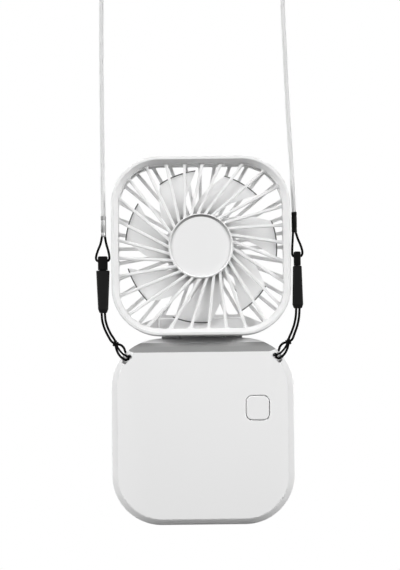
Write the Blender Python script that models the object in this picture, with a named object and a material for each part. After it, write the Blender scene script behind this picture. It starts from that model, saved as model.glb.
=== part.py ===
"""Foldable square fan that hangs from a neck lanyard: head, battery base, hinge, buckles and cords.

Metres, +Z up, X to the right, the front of the fan faces -Y. The origin is the underside of the
lanyard at the top of its loop, where a neck or a hook holds it. Sizes are named below; every piece of
the head and the base is placed from the hinge axis, with depths counted back from the front face.
"""

import math

import bmesh
import bpy
from mathutils import Matrix, Vector

# General clearances and wall sizes
GAP = 0.0003
WALL = 0.0018
OVERRUN = 0.002
THICKNESS = 0.020
PARTING_DEPTH = 0.011
JOIN = 0.0004

# Head: outline, rim and front grille
HEAD_WIDTH = 0.085
HEAD_HEIGHT = 0.085
HEAD_CORNER = 0.023
EDGE_BREAK = 0.0005
RIM_FLAT = 0.0014
RIM_SLOPE = 0.0018
RIM_DEPTH = 0.0024
RIM_BACK = 0.0029
RIB_HEIGHT = 0.0020
RIB_WIDTH = 0.0014
RIB_COUNT = 29
RIB_OFFSET = 0.0075
RIB_PHASE = math.radians(3.0)
SLOT_ROUNDING = 0.0014
SLOT_ROUNDING_SHARE = 0.4
HUB_RADIUS = 0.0155
HUB_RING = 0.0012
HUB_RING_RISE = 0.0008
HUB_FLOOR = 0.0012
CAP_THICKNESS = 0.0008
CAP_SLOPE = 0.0013
CAP_SLOPE_DEPTH = 0.0007
CAP_LIP = 0.0003

# Head: rear shell and intake grille
REAR_GRILLE_THICKNESS = 0.0022
REAR_HUB_RADIUS = 0.0175
REAR_RIB_COUNT = 36
REAR_RIB_WIDTH = 0.0016
REAR_BORDER = 0.003
REAR_EDGE_BREAK = 0.0012

# Motor and impeller
SHAFT_RADIUS = 0.001
BEARING_RADIUS = 0.0029
BEARING_LENGTH = 0.0065
TUBE_WALL = 0.0013
MOUNT_FLOOR = 0.0008
STATOR_RADIUS = 0.0103
STATOR_LENGTH = 0.006
MOTOR_BOARD_THICKNESS = 0.001
MAGNET_THICKNESS = 0.0013
ROTOR_GAP = 0.0006
HUB_CUP_WALL = 0.0012
HUB_CUP_DEPTH = 0.0084
IMPELLER_START = 0.0058
IMPELLER_ROOM = 0.0042
BLADE_COUNT = 7
BLADE_THICKNESS = 0.0009
BLADE_PITCH_DEPTH = 0.0066
BLADE_START = 0.0006
BLADE_TIP_ANGLE = math.radians(29)
BLADE_ROOT_ANGLE = math.radians(40)
BLADE_SWEEP = math.radians(34)
BLADE_SWEEP_POWER = 1.2
BLADE_PHASE = math.radians(5)
CABLE_WIDTH = 0.0026
CABLE_THICKNESS = 0.001
STRUT_WIDTH = 0.006

# Fold hinge at the rear edge between head and base
AXIS_GAP = 0.0003
SEAM_HALF = 0.0005
KNUCKLE_RADIUS = 0.003
KNUCKLE_CLEARANCE = 0.0004
BASE_KNUCKLE_SHARE = 0.4
WASHER_THICKNESS = 0.0006
WASHER_RADIUS = 0.0026
PIN_RADIUS = 0.0009
PIN_REACH_SHARE = 0.65
BLOCK_OVERLAP = 0.0009
BLOCK_END_WALL = 0.0007
BLOCK_TOP = 0.009
BLOCK_DEPTH = 0.0052
BAR_RISE = 0.0040
LIP_THICKNESS = 0.0006

# Base
BASE_SIDE_STEP = 0.0005
BASE_HEIGHT = 0.088
BASE_CHAMFER = 0.0028
SLOPE_DROP = 0.0068
CAVITY_DROP = 0.0155
BUTTON_SIDE = 0.0171
BUTTON_DROP = 0.0339
BUTTON_WIDTH = 0.0106
BUTTON_HEIGHT = 0.0113
BUTTON_CORNER = 0.0028
BUTTON_RISE = 0.0003
BUTTON_EDGE = 0.0005
BUTTON_FLANGE = 0.001
BUTTON_FLANGE_THICKNESS = 0.0009
SWITCH_SIZE = 0.0045
SWITCH_HEIGHT = 0.0013
BOARD_DEPTH = 0.0055
BOARD_THICKNESS = 0.0012
BOARD_LEFT_REACH = 0.012
BOARD_PAST_BUTTON = 0.0041
BOARD_TOP_DROP = 0.026
BOARD_RISE = 0.0165
BOARD_TONGUE_HALF = 0.0065
USB_WIDTH = 0.009
USB_HEIGHT = 0.0032
USB_LENGTH = 0.0073
USB_SHELL = 0.0003
USB_TONGUE = 0.0007
USB_RECESS = 0.0006
BATTERY_SIDE = 0.018
BATTERY_HEIGHT = 0.040
BATTERY_THICKNESS = 0.009
BATTERY_LOWERING = 0.0035
BATTERY_CORNER = 0.002
POST_RADIUS = 0.0016
POST_TOP_DROP = 0.0460
SCREW_SIDE = 0.0085
SCREW_TOP_DROP = 0.0255
SCREW_LOW_SIDE = 0.0125
SCREW_LOW_RISE = 0.010
SCREW_RADIUS = 0.0009
SCREW_HEAD_RADIUS = 0.0019
SCREW_HEAD = 0.0013
SCREW_LENGTH = 0.010
SCREW_SINK = 0.0004
BOSS_WALL = 0.0015

# Eyelets in the base's top corners, along the corner's tangent
EYELET_INSET = 0.0015
EYELET_WIDTH = 0.0023
EYELET_LENGTH = 0.0054
EYELET_LOWERING = 0.0017
EYELET_ROUNDING = 0.0009
EYELET_MOUTH_DEPTH = 0.0042
EYELET_MOUTH_WIDTH = 0.0022

# Lanyard, buckles and tethers
LOOP_REST_HEIGHT = 0.2048
LANYARD_DEPTH = 0.0032
LANYARD_RADIUS = 0.0011
FERRULE_RADIUS = 0.0013
FERRULE_LENGTH = 0.0098
THIN_CORD_RADIUS = 0.00045
TETHER_RADIUS = 0.00048
STRAND_SPREAD = 0.00065
PLUG_WIDTH = 0.0046
PLUG_DEPTH = 0.0032
PLUG_HEIGHT = 0.0065
PLUG_EYE_RADIUS = 0.0008
PLUG_EYE_DROP = 0.0023
PRONG_LENGTH = 0.008
PRONG_WIDTH = 0.0011
PRONG_SPAN = 0.0034
PRONG_DEPTH = 0.0016
SOCKET_TOP_WIDTH = 0.0063
SOCKET_END_WIDTH = 0.0047
SOCKET_TOP_DEPTH = 0.0040
SOCKET_END_DEPTH = 0.0050
SOCKET_LENGTH = 0.0201
SOCKET_POCKET = 0.0090
SOCKET_CORNER = 0.0009
SOCKET_NOSE_RISE_SHARE = 0.4
SOCKET_NOSE_INSET_SHARE = 0.35
LEFT_BUCKLE_ROOM = 0.0041
RIGHT_BUCKLE_ROOM = 0.0031
LEFT_PLUG_TOP = 0.0385
RIGHT_PLUG_TOP = 0.0397
LEFT_CORD_SHIFT = 0.0004
RIGHT_CORD_SHIFT = 0.00115
LEFT_CORD_RISE = 0.0194
RIGHT_CORD_RISE = 0.0192
STRAND_END_OUT = 0.00825

# Derived places, counted from the hinge axis
FRONT_Y = -(THICKNESS + AXIS_GAP)
HINGE_POINT = Vector((0, -FRONT_Y - LANYARD_DEPTH, -LOOP_REST_HEIGHT))
HEAD_MIDDLE = SEAM_HALF + HEAD_HEIGHT / 2
IMPELLER_RADIUS = min(HEAD_WIDTH, HEAD_HEIGHT) / 2 - WALL - IMPELLER_ROOM
BASE_WIDTH = HEAD_WIDTH + 2 * BASE_SIDE_STEP
BASE_CORNER = HEAD_CORNER + BASE_SIDE_STEP
BASE_MIDDLE = -SEAM_HALF - BASE_HEIGHT / 2
BASE_BOTTOM = -SEAM_HALF - BASE_HEIGHT
BUTTON_X = BASE_WIDTH / 2 - BUTTON_SIDE
BOARD_LEFT = -BOARD_LEFT_REACH
BOARD_RIGHT = BUTTON_X + BOARD_PAST_BUTTON
BOARD_LOW = BASE_BOTTOM + BOARD_RISE
BATTERY_WIDTH = BASE_WIDTH - 2 * BATTERY_SIDE
BATTERY_MIDDLE = BASE_MIDDLE - BATTERY_LOWERING
LEFT_BUCKLE_X = -HEAD_WIDTH / 2 - LEFT_BUCKLE_ROOM
RIGHT_BUCKLE_X = HEAD_WIDTH / 2 + RIGHT_BUCKLE_ROOM
CORNER_STEPS = 7
ROUND_SIDES = 48
SMALL_SIDES = 16
CORD_STEP = 2.5


def depth(value):
    """Y of a plane this far behind the front face."""
    return FRONT_Y + value


def clear_scene():
    for item in list(bpy.data.objects):
        bpy.data.objects.remove(item, do_unlink=True)


def make_material(name, colour, roughness, metallic=0.0):
    material = bpy.data.materials.new(name)
    material.use_nodes = True
    shader = material.node_tree.nodes["Principled BSDF"]
    shader.inputs["Base Color"].default_value = (*colour, 1.0)
    shader.inputs["Roughness"].default_value = roughness
    shader.inputs["Metallic"].default_value = metallic
    material.diffuse_color = (*colour, 1.0)
    return material


def add_object(name, mesh, parent=None, material=None, smooth=False):
    item = bpy.data.objects.new(name, mesh)
    bpy.context.scene.collection.objects.link(item)
    item.parent = parent
    if material is not None:
        mesh.materials.append(material)
    if smooth:
        mesh.shade_smooth()
        mesh.set_sharp_from_angle(angle=math.radians(35))
    return item


def add_axis(name, place, parent=None):
    """An empty that a moving group hangs on, placed on its joint's axis."""
    item = bpy.data.objects.new(name, None)
    bpy.context.scene.collection.objects.link(item)
    item.parent = parent
    item.location = place
    return item


def mesh_from(name, bm):
    bmesh.ops.recalc_face_normals(bm, faces=bm.faces)
    mesh = bpy.data.meshes.new(name)
    bm.to_mesh(mesh)
    bm.free()
    return mesh


def rounded_outline(half_x, half_z, radius, middle=0.0):
    """Points of a rectangle with round corners in the XZ plane, anticlockwise from the right."""
    points = []
    for quarter, (sx, sz) in enumerate(((1, 1), (-1, 1), (-1, -1), (1, -1))):
        for step in range(CORNER_STEPS + 1):
            angle = math.pi / 2 * (quarter + step / CORNER_STEPS)
            points.append((
                sx * (half_x - radius) + radius * math.cos(angle),
                middle + sz * (half_z - radius) + radius * math.sin(angle),
            ))
    return points


def inset_outline(width, height, corner, inset, middle):
    return rounded_outline(width / 2 - inset, height / 2 - inset, corner - inset, middle)


def head_outline(inset):
    return inset_outline(HEAD_WIDTH, HEAD_HEIGHT, HEAD_CORNER, inset, HEAD_MIDDLE)


def base_outline(inset):
    return inset_outline(BASE_WIDTH, BASE_HEIGHT, BASE_CORNER, inset, BASE_MIDDLE)


def add_stack(bm, levels):
    """Adds a closed body through outlines of equal point count, each at its own depth."""
    rings = [[bm.verts.new((x, y, z)) for x, z in outline] for y, outline in levels]
    for low, high in zip(rings, rings[1:]):
        for i in range(len(low)):
            j = (i + 1) % len(low)
            bm.faces.new((low[i], low[j], high[j], high[i]))
    bm.faces.new(rings[0])
    bm.faces.new(rings[-1])


def stack(name, levels, parent=None, material=None, smooth=False):
    bm = bmesh.new()
    add_stack(bm, levels)
    return add_object(name, mesh_from(name, bm), parent, material, smooth)


def box(name, low, high, parent=None, material=None):
    bm = bmesh.new()
    size = [b - a for a, b in zip(low, high)]
    middle = [(a + b) / 2 for a, b in zip(low, high)]
    place = Matrix.Translation(middle) @ Matrix.Diagonal((*size, 1))
    bmesh.ops.create_cube(bm, size=1, matrix=place)
    return add_object(name, mesh_from(name, bm), parent, material)


AXIS_TURN = {
    "X": Matrix.Rotation(math.pi / 2, 4, "Y"),
    "Y": Matrix.Rotation(-math.pi / 2, 4, "X"),
    "Z": Matrix.Identity(4),
}


def turned(name, profile, place, axis, parent=None, material=None, sides=ROUND_SIDES):
    """Solid of revolution. The profile is (radius, distance along the axis) pairs.

    A profile that starts and ends on the axis closes there; any other closes on itself as a ring.
    """
    bm = bmesh.new()
    rings = []
    for radius, along in profile:
        if radius == 0:
            rings.append([bm.verts.new((0, 0, along))])
            continue
        turns = [2 * math.pi * i / sides for i in range(sides)]
        rings.append([bm.verts.new((radius * math.cos(t), radius * math.sin(t), along)) for t in turns])
    pairs = list(zip(rings, rings[1:]))
    if profile[0][0] != 0:
        pairs.append((rings[-1], rings[0]))
    for low, high in pairs:
        for i in range(sides):
            j = (i + 1) % sides
            corners = [low[i % len(low)], low[j % len(low)], high[j % len(high)], high[i % len(high)]]
            corners = list(dict.fromkeys(corners))
            if len(corners) > 2:
                bm.faces.new(corners)
    bm.transform(Matrix.Translation(place) @ AXIS_TURN[axis])
    return add_object(name, mesh_from(name, bm), parent, material, smooth=True)


def rod(name, place, axis, radius, length, parent=None, material=None, sides=SMALL_SIDES):
    profile = [(0, 0), (radius, 0), (radius, length), (0, length)]
    return turned(name, profile, place, axis, parent, material, sides)


def ring(name, place, axis, inner, outer, length, parent=None, material=None, sides=ROUND_SIDES):
    profile = [(inner, 0), (outer, 0), (outer, length), (inner, length)]
    return turned(name, profile, place, axis, parent, material, sides)


def combine(target, tool, operation):
    """Adds one exact Boolean whose tool stays out of the render."""
    tool.hide_render = True
    tool.display_type = "WIRE"
    modifier = target.modifiers.new(tool.name, "BOOLEAN")
    modifier.operation = operation
    modifier.solver = "EXACT"
    modifier.object = tool


def cut(target, tool):
    combine(target, tool, "DIFFERENCE")


def unite(target, tool):
    combine(target, tool, "UNION")


def rounded_polygon(points, radii, steps):
    """The polygon with each corner of a non-zero radius replaced by an arc."""
    result = []
    for i, radius in enumerate(radii):
        corner = Vector(points[i])
        if radius == 0:
            result.append(tuple(corner))
            continue
        back = (Vector(points[i - 1]) - corner).normalized()
        on = (Vector(points[(i + 1) % len(points)]) - corner).normalized()
        half = back.angle(on) / 2
        middle = corner + (back + on).normalized() * (radius / math.sin(half))
        start = corner + back * (radius / math.tan(half)) - middle
        end = corner + on * (radius / math.tan(half)) - middle
        for step in range(steps + 1):
            spoke = start.lerp(end, step / steps).normalized() * radius
            result.append(tuple(middle + spoke))
    return result


def inside(x, z, half_x, half_z, radius):
    dx = max(abs(x) - (half_x - radius), 0)
    dz = max(abs(z) - (half_z - radius), 0)
    return math.hypot(dx, dz) <= radius and abs(x) <= half_x and abs(z) <= half_z


def reach(angle, offset, half_x, half_z, radius):
    """How far along a slanted line the rounded outline lies, by halving."""
    near, far = 0.0, half_x + half_z
    for _ in range(40):
        middle = (near + far) / 2
        x = middle * math.cos(angle) - offset * math.sin(angle)
        z = middle * math.sin(angle) + offset * math.cos(angle)
        if inside(x, z, half_x, half_z, radius):
            near = middle
        else:
            far = middle
    return near


def grille_cutter(name, count, phase, offset, rib, hub, border, y_low, y_high, parent):
    """The openings between straight ribs, each a prism with round outer corners."""
    half_x = HEAD_WIDTH / 2 - border
    half_z = HEAD_HEIGHT / 2 - border
    radius = HEAD_CORNER - border
    bm = bmesh.new()
    for k in range(count):
        sides = []
        for turn, side in ((k, offset + rib / 2), (k + 1, offset - rib / 2)):
            angle = phase + 2 * math.pi * turn / count
            out = reach(angle, side, half_x, half_z, radius)
            start = math.sqrt(hub ** 2 - side ** 2)
            sides.append([
                (s * math.cos(angle) - side * math.sin(angle), s * math.sin(angle) + side * math.cos(angle))
                for s in (start, out)
            ])
        (first_in, first_out), (last_in, last_out) = sides
        width = math.dist(first_out, last_out)
        rounding = min(SLOT_ROUNDING, width * SLOT_ROUNDING_SHARE)
        outline = rounded_polygon([first_in, first_out, last_out, last_in], [0, rounding, rounding, 0], 3)
        outline = [(x, z + HEAD_MIDDLE) for x, z in outline]
        add_stack(bm, [(y_low, outline), (y_high, outline)])
    return add_object(name, mesh_from(name, bm), parent)


def head_centre(at_depth):
    return (0, depth(at_depth), HEAD_MIDDLE)


def build_front_frame(parent, white):
    """Front half of the head's wall, with the rim that slopes in to the grille."""
    levels = [
        (depth(0), head_outline(EDGE_BREAK)),
        (depth(EDGE_BREAK), head_outline(0)),
        (depth(PARTING_DEPTH), head_outline(0)),
    ]
    shell = stack("head_front_frame", levels, parent, white)
    slope = RIM_SLOPE / RIM_DEPTH
    opening = [
        (depth(-OVERRUN), head_outline(RIM_FLAT - OVERRUN * slope)),
        (depth(RIM_DEPTH), head_outline(RIM_FLAT + RIM_SLOPE)),
        (depth(RIM_BACK + JOIN), head_outline(RIM_FLAT + RIM_SLOPE)),
    ]
    cut(shell, stack("head_opening_tool", opening, parent))
    chamber = [(depth(RIM_BACK), head_outline(WALL)), (depth(PARTING_DEPTH + OVERRUN), head_outline(WALL))]
    cut(shell, stack("head_chamber_tool", chamber, parent))


def build_front_grille(parent, white):
    """Flat grille behind the rim: straight ribs that pass the hub at one side, and the hub's ring."""
    border = WALL + GAP
    levels = [(depth(GRILLE_FRONT), head_outline(border)), (depth(GRILLE_BACK), head_outline(border))]
    grille = stack("head_front_grille", levels, parent, white)
    front = GRILLE_FRONT - HUB_RING_RISE
    hub_height = GRILLE_BACK - front
    unite(grille, rod("hub_tool", head_centre(front), "Y", HUB_RADIUS, hub_height, parent, sides=ROUND_SIDES))
    pocket = GRILLE_BACK - HUB_FLOOR + OVERRUN
    cut(grille, rod("cap_pocket_tool", head_centre(-OVERRUN), "Y", HUB_RADIUS - HUB_RING, pocket, parent,
                    sides=ROUND_SIDES))
    cut(grille, grille_cutter("front_slots_tool", RIB_COUNT, RIB_PHASE, RIB_OFFSET, RIB_WIDTH, HUB_RADIUS,
                              RIM_FLAT + RIM_SLOPE, depth(0), depth(GRILLE_BACK + OVERRUN / 4), parent))


def build_hub_cap(parent, white):
    """Shallow dish in the hub's ring: a flat disc whose edge slopes forward."""
    radius = HUB_RADIUS - HUB_RING - GAP
    back = GRILLE_BACK - HUB_FLOOR - GAP
    front = back - CAP_THICKNESS
    profile = [
        (0, front),
        (radius - CAP_SLOPE, front),
        (radius - CAP_LIP, front - CAP_SLOPE_DEPTH),
        (radius, front - CAP_SLOPE_DEPTH),
        (radius, back),
        (0, back),
    ]
    turned("hub_cap", profile, head_centre(0), "Y", parent, white)


def knuckle_relief(name, x_low, x_high, parent):
    """Clearance for the neighbour's knuckles, round the hinge axis."""
    return rod(name, (x_low, 0, 0), "X", KNUCKLE_RADIUS + KNUCKLE_CLEARANCE, x_high - x_low, parent)


def knuckle(name, x_low, x_high, parent):
    return rod(name, (x_low, 0, 0), "X", KNUCKLE_RADIUS, x_high - x_low, parent, None, ROUND_SIDES // 2)


WASHER_SPACE = WASHER_THICKNESS + 2 * GAP
BLOCK_HALF = HEAD_WIDTH / 2 - HEAD_CORNER + BLOCK_OVERLAP
OUTER_KNUCKLE_END = BLOCK_HALF - BLOCK_END_WALL - GAP
OUTER_KNUCKLE_START = OUTER_KNUCKLE_END - BLOCK_HALF * BASE_KNUCKLE_SHARE
HEAD_KNUCKLE_HALF = OUTER_KNUCKLE_START - WASHER_SPACE
PIN_REACH = HEAD_KNUCKLE_HALF * PIN_REACH_SHARE
GRILLE_FRONT = RIM_BACK + GAP
GRILLE_BACK = GRILLE_FRONT + RIB_HEIGHT
REAR_PLATE_FRONT = THICKNESS - REAR_GRILLE_THICKNESS
BORE_FLOOR = REAR_PLATE_FRONT - GAP - MOUNT_FLOOR


def build_rear_frame(parent, white):
    """Rear half of the head's wall, with the hinge block and the middle knuckle."""
    front = PARTING_DEPTH + GAP
    levels = [
        (depth(front), head_outline(0)),
        (depth(THICKNESS - REAR_EDGE_BREAK), head_outline(0)),
        (depth(THICKNESS), head_outline(REAR_EDGE_BREAK)),
    ]
    shell = stack("head_rear_frame", levels, parent, white)
    chamber = [(depth(front - OVERRUN), head_outline(WALL)), (depth(THICKNESS + OVERRUN), head_outline(WALL))]
    cut(shell, stack("rear_chamber_tool", chamber, parent))
    bottom = SEAM_HALF + WALL / 2
    unite(shell, box("hinge_block_tool", (-BLOCK_HALF, depth(THICKNESS - BLOCK_DEPTH), bottom),
                     (BLOCK_HALF, depth(THICKNESS - JOIN), BLOCK_TOP), parent))
    half = HEAD_KNUCKLE_HALF
    for sign in (-1, 1):
        low, high = sorted((sign * (half - JOIN / 2), sign * (OUTER_KNUCKLE_END + GAP)))
        cut(shell, knuckle_relief(f"head_relief_tool_{'right' if sign > 0 else 'left'}", low, high, parent))
    unite(shell, knuckle("head_knuckle_tool", -half, half, parent))
    for sign in (-1, 1):
        low, high = sorted((sign * (half - PIN_REACH - GAP), sign * (half + OVERRUN)))
        cut(shell, rod(f"head_pin_tool_{'right' if sign > 0 else 'left'}", (low, 0, 0), "X", PIN_RADIUS + GAP,
                       high - low, parent))


def build_rear_grille(parent, white):
    """Flat intake grille that fills the rear frame down to the hinge block."""
    border = WALL + GAP
    levels = [(depth(REAR_PLATE_FRONT), head_outline(border)), (depth(THICKNESS), head_outline(border))]
    grille = stack("head_rear_grille", levels, parent, white)
    cut(grille, grille_cutter("rear_slots_tool", REAR_RIB_COUNT, 0, 0, REAR_RIB_WIDTH, REAR_HUB_RADIUS,
                              REAR_BORDER, depth(REAR_PLATE_FRONT - OVERRUN / 2), depth(THICKNESS + OVERRUN),
                              parent))
    strut_top = HEAD_MIDDLE - REAR_HUB_RADIUS + WALL
    unite(grille, box("strut_tool", (-STRUT_WIDTH / 2, depth(REAR_PLATE_FRONT + JOIN / 2), BLOCK_TOP),
                      (STRUT_WIDTH / 2, depth(THICKNESS - JOIN / 2), strut_top), parent))
    reach_x = BLOCK_HALF + WALL
    unite(grille, box("bar_tool", (-reach_x, depth(REAR_PLATE_FRONT + JOIN), BAR_RISE),
                      (reach_x, depth(THICKNESS - JOIN), BLOCK_TOP + WALL), parent))
    reach_x = BLOCK_HALF + GAP
    cut(grille, box("block_room_tool", (-reach_x, depth(REAR_PLATE_FRONT - OVERRUN), 0),
                    (reach_x, depth(THICKNESS + OVERRUN), BLOCK_TOP + GAP), parent))


def build_motor(parent, white, copper, board_green, bronze, black):
    bore = BEARING_RADIUS + GAP
    tube_outer = bore + TUBE_WALL
    tube_profile = [
        (0, -MOUNT_FLOOR),
        (bore, -MOUNT_FLOOR),
        (bore, -MOUNT_FLOOR - BEARING_LENGTH - GAP),
        (tube_outer, -MOUNT_FLOOR - BEARING_LENGTH - GAP),
        (tube_outer, 0),
        (0, 0),
    ]
    mount_back = head_centre(REAR_PLATE_FRONT - GAP)
    turned("motor_mount", tube_profile, mount_back, "Y", parent, white, ROUND_SIDES // 2)
    board_front = REAR_PLATE_FRONT - GAP - MOTOR_BOARD_THICKNESS
    stator_front = board_front - GAP - STATOR_LENGTH
    inner = tube_outer + GAP
    ring("motor_board", head_centre(board_front), "Y", inner, STATOR_RADIUS, MOTOR_BOARD_THICKNESS, parent,
         board_green)
    ring("motor_stator", head_centre(stator_front), "Y", inner, STATOR_RADIUS, STATOR_LENGTH, parent, copper)
    bearing_front = BORE_FLOOR - GAP - BEARING_LENGTH
    ring("motor_bearing", head_centre(bearing_front), "Y", SHAFT_RADIUS + GAP, BEARING_RADIUS, BEARING_LENGTH,
         parent, bronze, ROUND_SIDES // 2)
    cable_back = REAR_PLATE_FRONT - GAP
    top = HEAD_MIDDLE - STATOR_RADIUS - GAP
    box("motor_cable", (-CABLE_WIDTH / 2, depth(cable_back - CABLE_THICKNESS), BLOCK_TOP + GAP),
        (CABLE_WIDTH / 2, depth(cable_back), top), parent, black)


def blade_point(radius_share, chord_share, side):
    """A point of the swept, pitched blade; the chord runs from its rear edge to its front edge."""
    root = HUB_CUP_RADIUS - HUB_CUP_WALL / 2
    radius = root + radius_share * (IMPELLER_RADIUS - root)
    span = BLADE_ROOT_ANGLE + radius_share * (BLADE_TIP_ANGLE - BLADE_ROOT_ANGLE)
    angle = BLADE_SWEEP * (1 - radius_share) ** BLADE_SWEEP_POWER + span * (0.5 - chord_share)
    camber = math.sin(math.pi * chord_share) * BLADE_THICKNESS
    back = BLADE_START + BLADE_PITCH_DEPTH * (1 - chord_share) + camber + side * BLADE_THICKNESS
    return radius, angle, back


def add_blade(bm, turn, radial_steps=5, chord_steps=5):
    grids = []
    for side in (0, 1):
        grid = []
        for i in range(radial_steps + 1):
            row = []
            for j in range(chord_steps + 1):
                radius, angle, back = blade_point(i / radial_steps, j / chord_steps, side)
                row.append(bm.verts.new((
                    radius * math.cos(angle + turn), back, radius * math.sin(angle + turn))))
            grid.append(row)
        grids.append(grid)
    low, high = grids
    for grid in grids:
        for i in range(radial_steps):
            for j in range(chord_steps):
                bm.faces.new((grid[i][j], grid[i + 1][j], grid[i + 1][j + 1], grid[i][j + 1]))
    border = [(i, 0) for i in range(radial_steps)]
    border += [(radial_steps, j) for j in range(chord_steps)]
    border += [(i, chord_steps) for i in range(radial_steps, 0, -1)]
    border += [(0, j) for j in range(chord_steps, 0, -1)]
    for (a, b), (c, d) in zip(border, border[1:] + border[:1]):
        bm.faces.new((low[a][b], low[c][d], high[c][d], high[a][b]))


MAGNET_INNER = STATOR_RADIUS + ROTOR_GAP
MAGNET_OUTER = MAGNET_INNER + MAGNET_THICKNESS
HUB_CUP_RADIUS = MAGNET_OUTER + GAP + HUB_CUP_WALL


def build_impeller(head, steel, blade_white, magnet_grey):
    """Impeller group: it turns on the empty, whose Y axis is the shaft's."""
    spin = add_axis("impeller_spin_axis", head_centre(IMPELLER_START), head)
    cup = [
        (0, 0),
        (HUB_CUP_RADIUS - EDGE_BREAK, 0),
        (HUB_CUP_RADIUS, EDGE_BREAK),
        (HUB_CUP_RADIUS, HUB_CUP_DEPTH),
        (HUB_CUP_RADIUS - HUB_CUP_WALL, HUB_CUP_DEPTH),
        (HUB_CUP_RADIUS - HUB_CUP_WALL, HUB_CUP_WALL),
        (SHAFT_RADIUS + GAP + HUB_CUP_WALL, HUB_CUP_WALL),
        (SHAFT_RADIUS + GAP + HUB_CUP_WALL, 2 * HUB_CUP_WALL),
        (SHAFT_RADIUS + GAP, 2 * HUB_CUP_WALL),
        (SHAFT_RADIUS + GAP, HUB_CUP_WALL / 2),
        (0, HUB_CUP_WALL / 2),
    ]
    impeller = turned("impeller", cup, (0, 0, 0), "Y", spin, blade_white)
    bm = bmesh.new()
    for k in range(BLADE_COUNT):
        add_blade(bm, BLADE_PHASE + 2 * math.pi * k / BLADE_COUNT)
    unite(impeller, add_object("blades_tool", mesh_from("blades_tool", bm), spin))
    magnet_start = HUB_CUP_WALL + GAP
    magnet_length = HUB_CUP_DEPTH - magnet_start
    ring("rotor_magnet", (0, magnet_start, 0), "Y", MAGNET_INNER, MAGNET_OUTER, magnet_length, spin, magnet_grey)
    shaft_start = HUB_CUP_WALL / 2 + GAP
    shaft_end = BORE_FLOOR - GAP - IMPELLER_START
    rod("motor_shaft", (0, shaft_start, 0), "Y", SHAFT_RADIUS, shaft_end - shaft_start, spin, steel)


def build_head(white, blade_white, steel, copper, board_green, bronze, black, magnet_grey):
    head = add_axis("head_fold_axis", HINGE_POINT)
    build_front_frame(head, white)
    build_front_grille(head, white)
    build_hub_cap(head, white)
    build_rear_frame(head, white)
    build_rear_grille(head, white)
    build_motor(head, white, copper, board_green, bronze, black)
    build_impeller(head, steel, blade_white, magnet_grey)
    for name, sign in (("left", -1), ("right", 1)):
        start = sign * (HEAD_KNUCKLE_HALF + GAP + (WASHER_THICKNESS if sign < 0 else 0))
        ring(f"friction_washer_{name}", (start, 0, 0), "X", PIN_RADIUS + GAP, WASHER_RADIUS, WASHER_THICKNESS,
             head, steel, ROUND_SIDES // 2)
    return head


LIP_Y = -(KNUCKLE_RADIUS + KNUCKLE_CLEARANCE + LIP_THICKNESS)


def cavity_outline(inset):
    low = BASE_BOTTOM + inset
    half_z = (-CAVITY_DROP - low) / 2
    return rounded_outline(BASE_WIDTH / 2 - inset, half_z, BASE_CORNER - inset, (low - CAVITY_DROP) / 2)


def slope_tool(name, parent):
    """Wedge over the sloping top end of the base, which gives the head room to tilt forward."""
    run = LIP_Y - FRONT_Y
    rise = SLOPE_DROP / run
    front = FRONT_Y - OVERRUN
    profile = [
        (LIP_Y, -SEAM_HALF),
        (front, -SEAM_HALF - (run + OVERRUN) * rise),
        (front, OVERRUN),
        (LIP_Y, OVERRUN),
    ]
    half = BASE_WIDTH / 2 + OVERRUN
    bm = bmesh.new()
    ends = [[bm.verts.new((x, y, z)) for y, z in profile] for x in (-half, half)]
    for i in range(len(profile)):
        j = (i + 1) % len(profile)
        bm.faces.new((ends[0][i], ends[0][j], ends[1][j], ends[1][i]))
    bm.faces.new(ends[0])
    bm.faces.new(ends[1])
    return add_object(name, mesh_from(name, bm), parent)


def corner_point(side, along, out):
    """Place by the base's top corner: along its 45 degree tangent, and outward from its outline."""
    share = math.sqrt(0.5)
    x = side * (BASE_WIDTH / 2 - BASE_CORNER + share * (BASE_CORNER + out) - share * along)
    z = -SEAM_HALF - BASE_CORNER + share * (BASE_CORNER + out) + share * along
    return x, z


def eyelet_tool(side, parent):
    """A slot in the front face that turns out through the corner's wall and leaves a bar for the cord."""
    low = -EYELET_LOWERING - EYELET_LENGTH / 2
    high = -EYELET_LOWERING + EYELET_LENGTH / 2
    inner = -EYELET_INSET - EYELET_WIDTH
    name = "right" if side > 0 else "left"
    corners = [(low, inner), (high, inner), (high, -EYELET_INSET), (low, -EYELET_INSET)]
    outline = [corner_point(side, u, w) for u, w in rounded_polygon(corners, [EYELET_ROUNDING] * 4, 3)]
    back = EYELET_MOUTH_DEPTH + EYELET_MOUTH_WIDTH
    bm = bmesh.new()
    add_stack(bm, [(depth(-OVERRUN), outline), (depth(back + JOIN / 2), outline)])
    slot = add_object(f"eyelet_slot_tool_{name}", mesh_from("slot", bm), parent)
    outside = 2 * OVERRUN
    low, high = low + JOIN / 2, high - JOIN / 2
    middle = -EYELET_INSET - EYELET_WIDTH / 2
    corners = ((low, middle), (high, middle), (high, outside), (low, outside))
    outline = [corner_point(side, u, w) for u, w in corners]
    bm = bmesh.new()
    add_stack(bm, [(depth(EYELET_MOUTH_DEPTH), outline), (depth(back), outline)])
    mouth = add_object(f"eyelet_mouth_tool_{name}", mesh_from("mouth", bm), parent)
    return slot, mouth


SCREW_PLACES = [
    (sign * (BASE_WIDTH / 2 - side), z)
    for side, z in ((SCREW_SIDE, -SCREW_TOP_DROP), (SCREW_LOW_SIDE, BASE_BOTTOM + SCREW_LOW_RISE))
    for sign in (-1, 1)
]
BORE_RADIUS = SCREW_RADIUS + GAP
SCREW_SEAT = THICKNESS - SCREW_SINK - SCREW_HEAD
USB_END = BASE_BOTTOM + USB_RECESS
USB_MIDDLE_DEPTH = BOARD_DEPTH + BOARD_THICKNESS + GAP + USB_HEIGHT / 2


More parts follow.
